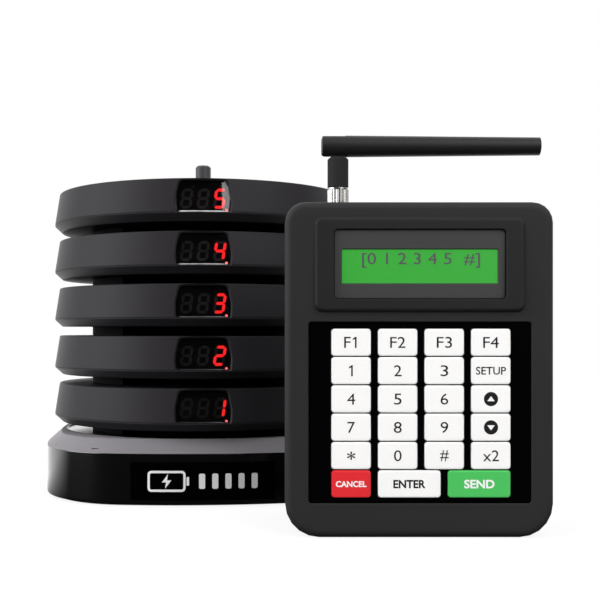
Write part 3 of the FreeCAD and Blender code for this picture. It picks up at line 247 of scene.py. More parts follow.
def relief(tree, height, depth, strength=1.0):
    """The slopes of a height from 0 to 1 that stands for a depth in millimetres."""
    given = {"Strength": strength, "Distance": depth * MM, "Height": height}
    return add(tree, "Bump", given).outputs[0]


def surfaced(material, tree, tint, gloss, more=None):
    """The material, ended in a surface with a colour, a roughness and what else is given."""
    shader = add(tree, "BsdfPrincipled", {"Base Color": tint, "Roughness": gloss} | (more or {}))
    add(tree, "OutputMaterial", {"Surface": shader.outputs[0]})
    return material


def moulded_plastic(name, colour, roughness, grain, depth, specular=0.5, mottle=0.06):
    """Injection-moulded plastic: a faint cloud in its colour, and the mould's fine skin as a bump.

    grain is the size of the skin's dimples in millimetres, and depth their depth.
    """
    material, tree = new_tree(name)
    low, high = ([c * (1 + m) for c in linear(colour)[:3]] + [1] for m in (-mottle, mottle))
    tint = blend(tree, noise(tree, CLOUD_SIZE, 3.0), low, high)
    skin = noise(tree, grain, 2.0)
    low, high = (min(roughness * share, 1.0) for share in GLOSS_SPREAD)
    more = {"IOR": PLASTIC_IOR, "Specular IOR Level": specular, "Normal": relief(tree, skin, depth)}
    return surfaced(material, tree, tint, ramp(tree, skin, low, high), more)


def beyond(tree, place, edge, operation="GREATER_THAN"):
    """1 where a place lies beyond an edge in millimetres, or short of it by LESS_THAN, else 0."""
    return add(tree, "Math", {0: place, 1: edge * MM}, operation=operation).outputs[0]


def circuit_board(name, block_from, across):
    """Green solder mask over woven glass, and black plastic beyond a distance along an axis."""
    material, tree = new_tree(name)
    where = add(tree, "TexCoord").outputs["Object"]
    place = add(tree, "SeparateXYZ", {0: where}).outputs[across]
    weave = checks(tree, BOARD_THREAD)
    green = blend(tree, weave, "0d3f1d", "11492a")
    tint = blend(tree, beyond(tree, place, block_from), green, "1b1b1c")
    return surfaced(material, tree, tint, ramp(tree, weave, 0.34, 0.42))


def dark_steel():
    """Turned steel with a black oxide finish: dark and satin, with rings 1.9 mm apart."""
    material, tree = new_tree("black_oxide_steel")
    where = add(tree, "TexCoord").outputs["Object"]
    scale = 2 * math.pi / (WAVE_RADIANS * RING_PITCH * MM)
    rings = {"Vector": where, "Scale": scale, "Distortion": 0.4, "Detail": 1.0}
    turning = add(tree, "TexWave", rings, wave_type="BANDS", bands_direction="Z").outputs[1]
    tint = blend(tree, turning, "2f2d30", "39373a")
    return surfaced(material, tree, tint, ramp(tree, turning, 0.4, 0.5), {"Metallic": 0.5})


def refinish(node, material):
    """Gives a part of the frame its finish."""
    nodes[node].data.materials.clear()
    nodes[node].data.materials.append(material)


# Satin ABS gives a soft dark sheen with a fine skin.
satin_black = moulded_plastic("satin_black_abs", "1c1c1e", 0.5, 0.35, 0.02, specular=0.3)
refinish("base_bottom_plate", satin_black)
# The green mask gives the board a dull sheen, and black oxide the post a soft grey one.
refinish("base_board", circuit_board("base_circuit_board", BASE_BLOCK, "Y"))
refinish("base_charge_post", dark_steel())

# ------------------------------------------------------------
# Base housing and sole: one shell moulded in black ABS and polished, its wide sloped rim left satin
# and brushed, with a round shallow dish that the first pager stands in, over a rubber sole.

STACK_TURN = math.radians(3.42)
BASE_HALF = 59.7
SIDE_RADIUS = 174
BOW = SIDE_RADIUS - BASE_HALF
CORNER_RADIUS = 34.8
SIDE_STEPS, CORNER_STEPS = 40, 24
HOUSING_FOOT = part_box("base_housing")[0].z / MM
HOUSING_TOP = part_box("base_housing")[1].z / MM
FOOT_LIP, FOOT_ROUND = 4.0, 0.9
RIM_FOOT = HOUSING_TOP - 4.6
RIM_WIDTH, RIM_ROUND, RIM_LEDGE = 5.2, 0.3, 0.5
DISH_RADIUS = 53.7
DISH_FLOOR = HOUSING_TOP - 0.75
DISH_MOUTH, DISH_ROUND = 0.15, 0.3
ROOF_UNDER = DISH_FLOOR - 2.4
POST_HOLE = 3.2
HOLLOW_HALF = 53.5
HOLLOW_CORNER = 16
LABEL_HALF = 24.75
LABEL_LOW, LABEL_HIGH = 2.3, 15.2
LABEL_DEPTH = 0.8
LABEL_EDGE = 0.06
SOLE_INSET, SOLE_ROUND = 3.0, 0.3
INLET_HALF = 4.65
INLET_LOW = 6.45
INLET_CUT = (40, 70)
ROUND_STEPS = 6
SHARP_ANGLE = math.radians(40)
BRUSH_LENGTH, BRUSH_PITCH = 14, 0.25


def turned(points, angle=STACK_TURN):
    """Points turned about the Z axis: x cos a - y sin a, x sin a + y cos a."""
    x, y, z = np.moveaxis(np.asarray(points, float), -1, 0)
    c, s = math.cos(angle), math.sin(angle)
    return np.stack([x * c - y * s, x * s + y * c, z], -1)


def closed_up(mesh):
    """The mesh with its seams and poles merged and its faces outwards, by its volume's sign."""
    made = bmesh.new()
    made.from_mesh(mesh)
    bmesh.ops.remove_doubles(made, verts=made.verts, dist=1e-7)
    if made.calc_volume(signed=True) < 0:
        bmesh.ops.reverse_faces(made, faces=made.faces)
    made.to_mesh(mesh)
    made.free()
    return mesh


def grid_mesh(name, points, closed_rows=False, caps=False):
    """A mesh of a rows by columns grid of points in millimetres. The columns close on themselves.

    closed_rows joins the last row to the first, as in a ring. caps closes the first and last rows.
    Each corner has a UV: millimetres along its row, and millimetres along its column.
    """
    points = np.asarray(points, float)
    rows, columns = points.shape[:2]
    row = np.arange(rows if closed_rows else rows - 1)[:, None]
    column = np.arange(columns)[None, :]
    right = (column + 1) % columns
    above = (row + 1) % rows
    here, over = row * columns, above * columns
    corners = [here + column, here + right, over + right, over + column]
    quads = np.stack(corners, -1).reshape(-1, 4)
    along = np.linalg.norm(np.diff(points, axis=1, append=points[:, :1]), axis=2)
    up = np.linalg.norm(np.diff(points, axis=0, append=points[:1]), axis=2)
    u = np.concatenate([np.zeros((rows, 1)), np.cumsum(along, 1)], 1)
    v = np.concatenate([np.zeros((1, columns)), np.cumsum(up, 0)], 0)
    corner_u = [u[row, column], u[row, column + 1], u[above, column + 1], u[above, column]]
    corner_v = [v[row, column], v[row, right], v[row + 1, right], v[row + 1, column]]
    uv = np.stack([np.stack(corner, -1).reshape(-1) for corner in (corner_u, corner_v)], -1)
    faces = quads.tolist()
    if caps:
        first = np.arange(columns)
        last = first + (rows - 1) * columns
        faces += [first[::-1].tolist(), last.tolist()]
        flat = np.concatenate([points[0, ::-1], points[-1]])
        spread = np.argsort(np.ptp(flat, axis=0))[1:]
        uv = np.concatenate([uv, flat[:, spread]])
    mesh = bpy.data.meshes.new(name)
    mesh.from_pydata((points.reshape(-1, 3) * MM).tolist(), [], faces)
    layer = mesh.uv_layers.new(name="surface")
    layer.data.foreach_set("uv", uv.astype(np.float32).ravel())
    return closed_up(mesh)


def new_piece(mesh, body, materials, replaces=()):
    """A piece of a mesh, riding on its body: smooth but for its sharp edges."""
    mesh.shade_smooth()
    mesh.set_sharp_from_angle(angle=SHARP_ANGLE)
    for material in materials:
        mesh.materials.append(material)
    piece = placed(mesh.name, mesh)
    even = piece.modifiers.new("even_normals", "WEIGHTED_NORMAL")
    even.keep_sharp = True
    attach(piece, body)
    if replaces:
        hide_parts(*replaces)


def rounded_line(corners, closed=False):
    """A profile with round corners. A corner is (a, b, radius), its arc touching both its sides.

    Each arc turns from one side's foot to the other's by spherical interpolation about its centre.
    """
    spots = np.array([corner[:2] for corner in corners], float)
    count = len(corners)
    line = []
    for i, corner in enumerate(corners):
        radius = corner[2] if len(corner) > 2 else 0
        if not radius or (not closed and i in (0, count - 1)):
            line.append(spots[i][None])
            continue
        back = spots[i - 1] - spots[i]
        on = spots[(i + 1) % count] - spots[i]
        back, on = back / np.linalg.norm(back), on / np.linalg.norm(on)
        half = math.acos(np.clip(back @ on, -1, 1)) / 2
        middle = (back + on) / np.linalg.norm(back + on)
        centre = spots[i] + middle * radius / math.sin(half)
        start = spots[i] + back * radius / math.tan(half) - centre
        end = spots[i] + on * radius / math.tan(half) - centre
        sweep = math.pi - 2 * half
        share = np.linspace(0, 1, ROUND_STEPS)[:, None]
        ahead, past = np.sin((1 - share) * sweep), np.sin(share * sweep)
        line.append(centre + (ahead * start + past * end) / math.sin(sweep))
    return np.concatenate(line)


def combined(mesh, other, operation):
    """The mesh with another closed solid taken away or added, by an exact Boolean."""
    body, tool = placed("combined_body", mesh), placed("combined_tool", other)
    cut = body.modifiers.new("cut", "BOOLEAN")
    cut.operation = operation
    cut.solver = "EXACT"
    cut.object = tool
    depsgraph = bpy.context.evaluated_depsgraph_get()
    result = bpy.data.meshes.new_from_object(body.evaluated_get(depsgraph))
    name = mesh.name
    for thing in (body, tool):
        bpy.data.objects.remove(thing)
    bpy.data.meshes.remove(mesh)
    bpy.data.meshes.remove(other)
    result.name = name
    return result


def finish_where(mesh, test):
    """Gives the second material to the faces whose middles, in millimetres, pass a test."""
    middle = np.empty(len(mesh.polygons) * 3)
    mesh.polygons.foreach_get("center", middle)
    index = test(*middle.reshape(-1, 3).T / MM).astype(np.int32)
    mesh.polygons.foreach_set("material_index", index)
    return mesh


def box_mesh(low, high, turn=0.0):
    """A plain box between two corners in millimetres, for cutting."""
    (x0, y0, z0), (x1, y1, z1) = low, high
    outline = np.array([(x0, y0), (x1, y0), (x1, y1), (x0, y1)], float)
    rows = [np.column_stack([outline, np.full(4, z)]) for z in (z0, z1)]
    return grid_mesh("box_cutter", turned(rows, turn), caps=True)


def brushed_satin():
    """The rim's satin finish: fine lines that run along it, 0.25 mm apart so that they show."""
    material, tree = new_tree("brushed_satin_rim")
    place = add(tree, "UVMap", uv_map="surface").outputs[0]
    scale = (1 / BRUSH_LENGTH, 1 / BRUSH_PITCH, 1)
    lines = add(tree, "Mapping", {"Vector": place, "Scale": scale}).outputs[0]
    streaks = add(tree, "TexNoise", {"Vector": lines, "Scale": 1.0, "Detail": 4.0}).outputs[0]
    tint = blend(tree, streaks, "6c696e", "787579")
    more = {"Specular IOR Level": 0.2, "Normal": relief(tree, streaks, 0.02, 0.6)}
    return surfaced(material, tree, tint, ramp(tree, streaks, 0.5, 0.62), more)


def polished_black():
    """Polished black ABS: black from the front, and a white mirror where it turns away."""
    material, tree = new_tree("gloss_black_abs")
    skin = noise(tree, 1.2, 2.0)
    tint = blend(tree, skin, "040405", "060607")
    more = {"IOR": 1.8, "Normal": relief(tree, skin, 0.003)}
    return surfaced(material, tree, tint, ramp(tree, skin, 0.14, 0.2), more)


def bowed_outline():
    """The base's plan: points and outward normals of four bowed sides and four round corners.

    A side is an arc about a point beyond the far side, with a column at each edge of the label.
    """
    spread = SIDE_RADIUS - CORNER_RADIUS
    corner = (math.sqrt(2 * spread**2 - BOW**2) - BOW) / 2
    lean = math.atan2(corner, BOW + corner)
    edge = np.arcsin(np.array([LABEL_HALF, LABEL_HALF + LABEL_EDGE]) / SIDE_RADIUS)
    side = np.linspace(-lean, lean, SIDE_STEPS, endpoint=False)
    side = np.sort(np.concatenate([side, edge, -edge]))
    turn = np.linspace(lean, math.pi / 2 - lean, CORNER_STEPS, endpoint=False)
    arcs = (((0, BOW), SIDE_RADIUS, side), ((corner, -corner), CORNER_RADIUS, turn))
    points, normals = [], []
    for quarter in range(4):
        c, s = math.cos(quarter * math.pi / 2), math.sin(quarter * math.pi / 2)
        spin = np.array([[c, s], [-s, c]])
        for centre, radius, t in arcs:
            n = np.stack([np.sin(t), -np.cos(t)], -1)
            points.append((np.array(centre) + radius * n) @ spin)
            normals.append(n @ spin)
    return np.concatenate(points), np.concatenate(normals)


def level(outline, z):
    """A plan outline lifted to a height."""
    return np.column_stack([outline, np.full(len(outline), z)])


def base_housing():
    """The housing: the plan drawn in by each row's inset, p - n inset, lifted to the row's height.

    The label's recess is a further inset where the row and column lie inside the label. The dish's
    rows are circles. The hollow's are an octagon, the least of its sides' distances each way.
    """
    plan, normal = bowed_outline()
    outside = rounded_line(
        [
            (FOOT_LIP, HOUSING_FOOT),
            (0.0, HOUSING_FOOT, FOOT_ROUND),
            (0.0, LABEL_LOW - LABEL_EDGE),
            (0.0, LABEL_LOW),
            (0.0, LABEL_HIGH),
            (0.0, LABEL_HIGH + LABEL_EDGE),
            (0.0, RIM_FOOT, RIM_ROUND),
            (RIM_WIDTH, HOUSING_TOP, RIM_ROUND),
            (RIM_WIDTH + RIM_LEDGE, HOUSING_TOP),
        ]
    )
    inset, height = outside[:, 0][:, None], outside[:, 1][:, None]
    in_label = (height >= LABEL_LOW) & (height <= LABEL_HIGH)
    in_label = in_label & (np.abs(plan[:, 0]) <= LABEL_HALF + 1e-6) & (plan[:, 1] < 0)
    inset = inset + LABEL_DEPTH * in_label
    x, y = ((plan[:, axis] - normal[:, axis] * inset) for axis in (0, 1))
    rows = [x, y, height + 0 * inset]
    way = plan / np.linalg.norm(plan, axis=1, keepdims=True)
    sides = [(1, 0), (0, 1), (-1, 0), (0, -1), (1, 1), (-1, 1), (-1, -1), (1, -1)]
    sides = np.array(sides, float)
    sides /= np.linalg.norm(sides, axis=1, keepdims=True)
    cut = (2 * HOLLOW_HALF - HOLLOW_CORNER) / math.sqrt(2)
    reach = np.array([HOLLOW_HALF] * 4 + [cut] * 4)
    hollow = way / (way @ sides.T / reach).max(1, keepdims=True)
    dish = rounded_line(
        [
            (DISH_RADIUS + 2 * DISH_MOUTH, HOUSING_TOP),
            (DISH_RADIUS, HOUSING_TOP, DISH_MOUTH),
            (DISH_RADIUS, DISH_FLOOR, DISH_ROUND),
            (4 * POST_HOLE, DISH_FLOOR),
            (POST_HOLE, DISH_FLOOR),
            (POST_HOLE, ROOF_UNDER),
            (4 * POST_HOLE, ROOF_UNDER),
        ]
    )
    inside = [level(way * radius, z) for radius, z in dish]
    inside += [level(hollow, ROOF_UNDER), level(hollow, HOUSING_FOOT)]
    points = np.concatenate([np.stack(rows, -1), np.array(inside)])
    mesh = grid_mesh("base_housing_moulding", turned(points), closed_rows=True)
    low = (-INLET_HALF, INLET_CUT[0], INLET_LOW)
    high = (INLET_HALF, INLET_CUT[1], INLET_LOW + 2 * INLET_HALF)
    mesh = combined(mesh, box_mesh(low, high, STACK_TURN), "DIFFERENCE")
    rim = RIM_FOOT + 0.1
    return finish_where(mesh, lambda x, y, z: (z > rim) & (np.hypot(x, y) > DISH_RADIUS))


def sole_mesh():
    """The sole: the plan drawn in by each row's inset, its lower edge round."""
    plan, normal = bowed_outline()
    corners = [(SOLE_INSET, HOUSING_FOOT), (SOLE_INSET, 0, SOLE_ROUND), (SOLE_INSET + 1, 0)]
    rows = [level(plan - normal * inset, z) for inset, z in rounded_line(corners)]
    return grid_mesh("base_sole_moulding", turned(rows), caps=True)


# Rubber gives a dull, slightly dusty black.
rubber = moulded_plastic("moulded_rubber", "18181a", 0.8, 0.3, 0.03, specular=0.3)
new_piece(sole_mesh(), "base", [rubber], ["base_sole"])
# The polish gives black faces with a white edge, and the satin rim gives a soft grey band.
finishes = [polished_black(), brushed_satin()]
new_piece(base_housing(), "base", finishes, ["base_housing"])

# ------------------------------------------------------------
# Label on the base: a polished black plate bent to the housing's front, with a printed charging
# mark: a battery with a bolt in it, and five level bars. The ink stands 0.03 mm off the plate.

MARK_MIDDLE, MARK_CORNER = 8.75, 0.6
BATTERY = (13.0, 7.2)
BATTERY_CORNER = 1.3
BATTERY_LINE = 0.8
BATTERY_X = -12.5
BATTERY_STEPS = 96
TERMINAL = (0.9, 3.0, 0.3)
TERMINAL_X = BATTERY_X + BATTERY[0] / 2 + 0.75
BAR = (2.1, 5.2)
BAR_COUNT, BAR_PITCH = 5, 4.5
BARS_X = -0.4
INK = 0.03
BOLT = [(0.5, 2.5), (-1.6, -0.35), (-0.2, -0.35), (-0.5, -2.5), (1.6, 0.35), (0.2, 0.35)]


def rectangle(width, height, corner, x=0.0, z=0.0):
    """A rectangle with round corners about a middle, from its lower left corner to the right."""
    a, b = width / 2, height / 2
    corners = [(x - a, z - b), (x + a, z - b), (x + a, z + b), (x - a, z + b)]
    return rounded_line([(*spot, corner) for spot in corners], closed=True)


def grown(size, margin):
    """A width and a height, each grown by a margin at both ends."""
    return [side + 2 * margin for side in size]


def evenly(outline, count):
    """A closed outline taken again at equal steps along its length."""
    ring = np.concatenate([outline, outline[:1]])
    along = np.concatenate([[0], np.cumsum(np.linalg.norm(np.diff(ring, axis=0), axis=1))])
    at = np.arange(count) * along[-1] / count
    return np.column_stack([np.interp(at, along, ring[:, axis]) for axis in (0, 1)])


def on_label(outline, proud):
    """An outline of x and z laid on the label: y = bow - sqrt((R + proud)^2 - x^2)."""
    x, z = outline[:, 0], outline[:, 1]
    y = BOW - np.sqrt((SIDE_RADIUS + proud) ** 2 - x**2)
    return np.column_stack([x, y, z])


def label_mark():
    """The printed mark: thin solids of two bent outlines each, and of four for the battery."""
    x, z = BATTERY_X, MARK_MIDDLE
    outer = evenly(rectangle(*BATTERY, BATTERY_CORNER, x, z), BATTERY_STEPS)
    inner = evenly(rectangle(*grown(BATTERY, -BATTERY_LINE), MARK_CORNER, x, z), BATTERY_STEPS)
    ring = [on_label(outer, 0), on_label(outer, INK), on_label(inner, INK), on_label(inner, 0)]
    meshes = [grid_mesh("battery_case", turned(ring), closed_rows=True)]
    shapes = [np.array(BOLT) + (x, z), rectangle(*TERMINAL, TERMINAL_X, z)]
    shapes += [rectangle(*BAR, MARK_CORNER, BARS_X + i * BAR_PITCH, z) for i in range(BAR_COUNT)]
    for shape in shapes:
        rows = [on_label(shape, proud) for proud in (0, INK)]
        meshes.append(grid_mesh("mark", turned(rows), caps=True))
    return meshes


def joined(name, meshes):
    """Several meshes as one."""
    made = bmesh.new()
    for mesh in meshes:
        made.from_mesh(mesh)
        bpy.data.meshes.remove(mesh)
    whole = bpy.data.meshes.new(name)
    made.to_mesh(whole)
    made.free()
    return whole


# A polished film gives a black a little deeper than the housing's, and the ink a flat white.
film = moulded_plastic("gloss_label_film", "020203", 0.1, 1.5, 0.002, specular=0.1)
refinish("base_label_plate", film)
INK_SKIN = {"grain": 0.15, "depth": 0.003, "specular": 0.2}
white_ink = moulded_plastic("white_screen_ink", "f0f0f0", 0.6, mottle=0.02, **INK_SKIN)
new_piece(joined("label_charging_mark", label_mark()), "base", [white_ink])

# ------------------------------------------------------------
# Pagers, shells: a cap and a tray moulded in charcoal ABS with a fine satin skin, snapped together
# at the widest radius, a foot ring open at the front, and a window cut in the cap down to the tray.

PAGER_COUNT = 5
PAGER_RADIUS = 58
PAGER_STEPS, FOOT_STEPS = 240, 120
UNDERSIDE = 3.4
PARTING, PARTING_ROUND = 6.3, 0.18
WALL_FOOT = PARTING + 0.4
PAGER_TOP = 18.2
WALL_LEAN, TRAY_LEAN = 1.8, 2.8
CAP_INSIDE, CAP_UNDER = 54.0, PAGER_TOP - 1.8
CAP_HOLE = 3.15
TRAY_FLOOR = 5.0
BOSS_RADIUS, BOSS_TOP = 5.0, 14.4
SOCKET_RADIUS, SOCKET_TOP = 3.25, 13.4
CONE_FOOT, CONE_RADII = 0.4, (4.55, 6.45)
RING_INSIDE, RING_OUTSIDE, RING_ROUND = 39.6, 43.6, 0.4
RING_GAP, RING_TOP = 29.5, UNDERSIDE + 0.1
SILL_HALF = 9.25
WINDOW_BULGE = (9.7, 10.6)
WINDOW_HEAD = (8.25, 17.45)
WINDOW_ROUNDS = (0.9, 12, 1.9)
SEATS = {n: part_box(f"pager_{n}_bottom_shell")[0].z / MM for n in range(1, PAGER_COUNT + 1)}


def lathe(profile, count):
    """A profile of radius and height turned about Z: r cos t, r sin t, z."""
    t = np.arange(count) * 2 * math.pi / count
    radius, height = profile[:, :1], profile[:, 1:]
    return np.stack([radius * np.cos(t), radius * np.sin(t), height + 0 * t], -1)


def cap_profile():
    """Radius and height of the cap's section, from its outer foot over the top and back inside."""
    corners = [
        (PAGER_RADIUS, PARTING, PARTING_ROUND),
        (PAGER_RADIUS, WALL_FOOT, 0.2),
        (PAGER_RADIUS - WALL_LEAN, PAGER_TOP, 0.6),
        (CAP_HOLE, PAGER_TOP, 0.15),
        (CAP_HOLE, CAP_UNDER),
        (CAP_INSIDE, CAP_UNDER, 0.8),
        (CAP_INSIDE, PARTING),
    ]
    return rounded_line(corners, closed=True)


def tray_profile():
    """Radius and height of the tray's section: the socket, the outside, the rim and the inside."""
    corners = [
        (0.0, SOCKET_TOP),
        (SOCKET_RADIUS, SOCKET_TOP),
        (SOCKET_RADIUS, CONE_FOOT, 0.1),
        (CONE_RADII[0], CONE_FOOT, 0.3),
        (CONE_RADII[1], UNDERSIDE, 0.4),
        (PAGER_RADIUS - TRAY_LEAN, UNDERSIDE, 0.3),
        (PAGER_RADIUS, PARTING - 0.3, 0.2),
        (PAGER_RADIUS, PARTING, PARTING_ROUND),
        (CAP_INSIDE, PARTING),
        (CAP_INSIDE, TRAY_FLOOR, 0.4),
        (BOSS_RADIUS, TRAY_FLOOR, 0.3),
        (BOSS_RADIUS, BOSS_TOP, 0.3),
        (0.0, BOSS_TOP),
    ]
    return rounded_line(corners)


def wall_depth(x, z, depth):
    """Y of the cap's leaning wall at x and z, moved back by a depth: d - sqrt(r(z)^2 - x^2)."""
    radius = PAGER_RADIUS - WALL_LEAN * (z - WALL_FOOT) / (PAGER_TOP - WALL_FOOT)
    return depth - np.sqrt(radius**2 - x**2)


def window_cutter(seat):
    """The window's cutter: its bulging outline carried inwards, wider at the wall for a bevel."""
    rows = []
    for grow, depth in ((0.0, 9.0), (0.0, 0.6), (0.4, 0.12), (1.5, -1.2)):
        half, bulge, head = SILL_HALF + grow, WINDOW_BULGE[0] + grow, WINDOW_HEAD[0] + grow
        low, high = PARTING - 0.05 - grow, WINDOW_HEAD[1] + grow
        right = [(half, low), (bulge, WINDOW_BULGE[1]), (head, high)]
        right = [(*spot, radius) for spot, radius in zip(right, WINDOW_ROUNDS)]
        left = [(-x, z, radius) for x, z, radius in right[::-1]]
        outline = rounded_line(right + left, closed=True)
        x, z = outline[:, 0], outline[:, 1]
        rows.append(np.column_stack([x, wall_depth(x, z, depth), z + seat]))
    return grid_mesh("window_cutter", turned(rows), caps=True)


def foot_ring(name, seat):
    """The foot: a rectangle with round edges carried round an arc that is open at the front."""
    corners = [
        (RING_INSIDE, 0.0, RING_ROUND),
        (RING_OUTSIDE, 0.0, RING_ROUND),
        (RING_OUTSIDE, RING_TOP),
        (RING_INSIDE, RING_TOP),
    ]
    radius, height = rounded_line(corners, closed=True).T
    gap = math.asin(RING_GAP / RING_OUTSIDE)
    t = np.linspace(-math.pi / 2 + gap, 3 * math.pi / 2 - gap, FOOT_STEPS)[:, None]
    points = np.stack([radius * np.cos(t), radius * np.sin(t), seat + height + 0 * t], -1)
    return grid_mesh(name, turned(points), caps=True)


# The satin skin gives a soft, nearly even charcoal. The foot is a softer, darker moulding, near
# black also as painted shade for the dark gap under each pager.
charcoal = moulded_plastic("satin_charcoal_abs", "272528", 0.5, 0.18, 0.008, specular=0.1)
foot_rubber_gap_shade = moulded_plastic("black_tpe_gap_shade", "0b0b0c", 0.85, 0.3, 0.01, specular=0.15)

for number, seat in SEATS.items():
    body = f"pager_{number}"
    lift = np.array([0, 0, seat])
    cap = grid_mesh(f"{body}_cap", lathe(cap_profile(), PAGER_STEPS) + lift, closed_rows=True)
    cap = combined(cap, window_cutter(seat), "DIFFERENCE")
    new_piece(cap, body, [charcoal], [f"{body}_top_shell"])
    tray = grid_mesh(f"{body}_tray", lathe(tray_profile(), PAGER_STEPS) + lift)
    new_piece(tray, body, [charcoal], [f"{body}_bottom_shell"])
    new_piece(foot_ring(f"{body}_foot", seat), body, [foot_rubber_gap_shade])

# ------------------------------------------------------------
# Pagers, displays: a smoked acrylic lens behind the window with a bead at the sill for its polished
# edge, a painted highlight on the upper pagers and painted shade on the lower ones, and a
# three-digit display whose last digit is lit red, with a painted red reflection of it on the sill.
# Board, cell, motor and post lie behind it.

SEGMENT_ENDS = {
    "a": ((-1, 1), (1, 1)),
    "b": ((1, 1), (1, 0)),
    "c": ((1, 0), (1, -1)),
    "d": ((1, -1), (-1, -1)),
    "e": ((-1, -1), (-1, 0)),
    "f": ((-1, 0), (-1, 1)),
    "g": ((-1, 0), (1, 0)),
}
DIGIT_SEGMENTS = {1: "bc", 2: "abged", 3: "abgcd", 4: "fgbc", 5: "afgcd"}
DIGIT_HALF = (1.5, 3.0)
DIGIT_PITCH = 5.7
DIGIT_MIDDLE = 11.35
DIGIT_SLANT = math.tan(math.radians(8))
STROKE, STROKE_GAP = 1.0, 0.06
DISPLAY_FACE = -53.2
SEGMENT_RISE = 0.12
POINT_X, POINT_Z = 8.0, PARTING + 0.75
POINT_RADIUS, POINT_RISE, POINT_STEPS = 0.42, 0.2, 16
POINT_BACK, SILL_BACK = 1.0, 0.75
SILL_LENGTH = SILL_HALF - 0.7
SILL_Z = PARTING + 0.3
SILL_BEAD = (0.12, 0.22)
SILL_STEPS, BEAD_STEPS = 41, 10
# Painted light on the sill beads, pager by pager: pale for a painted highlight on the upper pagers,
# dark for painted shade on the lower ones.
SILL_PAINTED_LIGHT = {5: "c4c2c5", 4: "a5a3a6", 3: "4c4a4d", 2: "232224", 1: "1e1d1f"}
DISPLAY_FROM, POST_WITHIN = 45, 5


def segment_bar(ends):
    """One bar of a digit: a six-sided outline with pointed ends between two of its corners."""
    start, end = (np.array(corner) * DIGIT_HALF for corner in ends)
    length = np.linalg.norm(end - start)
    way = (end - start) / length
    side = np.array([-way[1], way[0]])
    tip, half = STROKE_GAP, STROKE / 2
    near, far = tip + half, length - tip - half
    along = np.array([tip, near, far, length - tip, far, near])
    across = np.array([0, -half, -half, 0, half, half])
    flat = start + along[:, None] * way + across[:, None] * side
    flat[:, 0] += DIGIT_SLANT * flat[:, 1]
    return flat


def slab(name, outline, front, back, turn=0.0):
    """A flat solid of an outline of x and z between two depths."""
    x, z = outline.T
    rows = [np.column_stack([x, np.full(len(x), y), z]) for y in (front, back)]
    return grid_mesh(name, turned(rows, turn), caps=True)


def digit_bars(name, bars, seat):
    """Bars as thin solids on the display's face. bars lists (place from the left, segment)."""
    meshes = []
    for place, letter in bars:
        flat = segment_bar(SEGMENT_ENDS[letter])
        flat += ((place - 1) * DIGIT_PITCH, DIGIT_MIDDLE + seat)
        meshes.append(slab("bar", flat, DISPLAY_FACE - SEGMENT_RISE, DISPLAY_FACE, STACK_TURN))
    return joined(name, meshes)


def circle(x, z, radius, count):
    """A circle's outline about a middle: x + r cos t, z + r sin t."""
    t = np.arange(count) * 2 * math.pi / count
    return np.column_stack([x + radius * np.cos(t), z + radius * np.sin(t)])


def point_mesh(name, seat):
    """The decimal point's red glow as a low disc on the sill, right of the last digit: a painted
    reflection, lit by nothing there.
    """
    x, z = circle(POINT_X, POINT_Z, POINT_RADIUS, POINT_STEPS).T
    y = wall_depth(x, z, POINT_BACK)
    rows = [np.column_stack([x, y - rise, z + seat]) for rise in (POINT_RISE, 0)]
    return grid_mesh(name, turned(rows), caps=True)


def sill_strip(name, seat):
    """The lens's polished edge at the sill: a thin bead along the wall, its ends drawn in, whose
    tint is painted light.

    The bead swells by sqrt(1 - t^8) (1 + sin 9t cos 4t / 4), with t from -1 to 1 along it.
    """
    t = np.linspace(-1, 1, SILL_STEPS)[:, None]
    a = np.linspace(0, 2 * math.pi, BEAD_STEPS, endpoint=False)
    swell = np.sqrt(np.clip(1 - t**8, 0.01, 1)) * (1 + 0.25 * np.sin(9 * t) * np.cos(4 * t))
    x = SILL_LENGTH * t + 0 * a
    z = SILL_Z + SILL_BEAD[1] * swell * np.sin(a)
    y = wall_depth(x, z, SILL_BACK) - SILL_BEAD[0] * np.cos(a)
    return grid_mesh(name, turned(np.stack([x, y, z + seat], -1)), caps=True)


def glowing(name, colour, strength):
    """A glowing finish, faintly uneven, giving off its own colour: diffusing plastic over a lamp
    for a lit segment, and a painted reflection for the red dot on the sill.
    """
    material, tree = new_tree(name)
    deep = [c * 0.8 for c in linear(colour)[:3]] + [1]
    tint = blend(tree, noise(tree, 0.6, 1.0), deep, colour)
    more = {"Emission Color": tint, "Emission Strength": strength}
    return surfaced(material, tree, tint, 0.4, more)


def smoked_acrylic():
    """Smoked acrylic: polished, clear and a little dark, its polish faintly uneven over 6 mm."""
    material, tree = new_tree("smoked_acrylic")
    gloss = ramp(tree, noise(tree, 6, 1.0), 0.02, 0.05)
    more = {"IOR": 1.49, "Specular IOR Level": 0.3, "Transmission Weight": 1.0}
    return surfaced(material, tree, linear("b4b0b3"), gloss, more)


def pager_inside():
    """One part's finish by radius: dark steel at the post, green board, black at the display."""
    material, tree = new_tree("circuit_board_and_post")
    apart = add(tree, "SeparateXYZ", {0: add(tree, "TexCoord").outputs["Object"]})
    flat = add(tree, "CombineXYZ", {0: apart.outputs[0], 1: apart.outputs[1]}).outputs[0]
    radius = add(tree, "VectorMath", {0: flat}, operation="LENGTH").outputs["Value"]
    cloud = noise(tree, 2, 3.0)
    tint = blend(tree, cloud, "0c3a1c", "125028")
    tint = blend(tree, beyond(tree, radius, DISPLAY_FROM), tint, "070608")
    tint = blend(tree, beyond(tree, radius, POST_WITHIN, "LESS_THAN"), tint, "3d3b3e")
    gloss = ramp(tree, cloud, 0.42, 0.54)
    return surfaced(material, tree, tint, gloss, {"Specular IOR Level": 0.3})


# Smoked acrylic keeps the window nearly black, so that only the lit digit stands out.
smoked = smoked_acrylic()
inside_finish = pager_inside()
lit_red = glowing("lit_red_segment", "ff2626", 2.6)
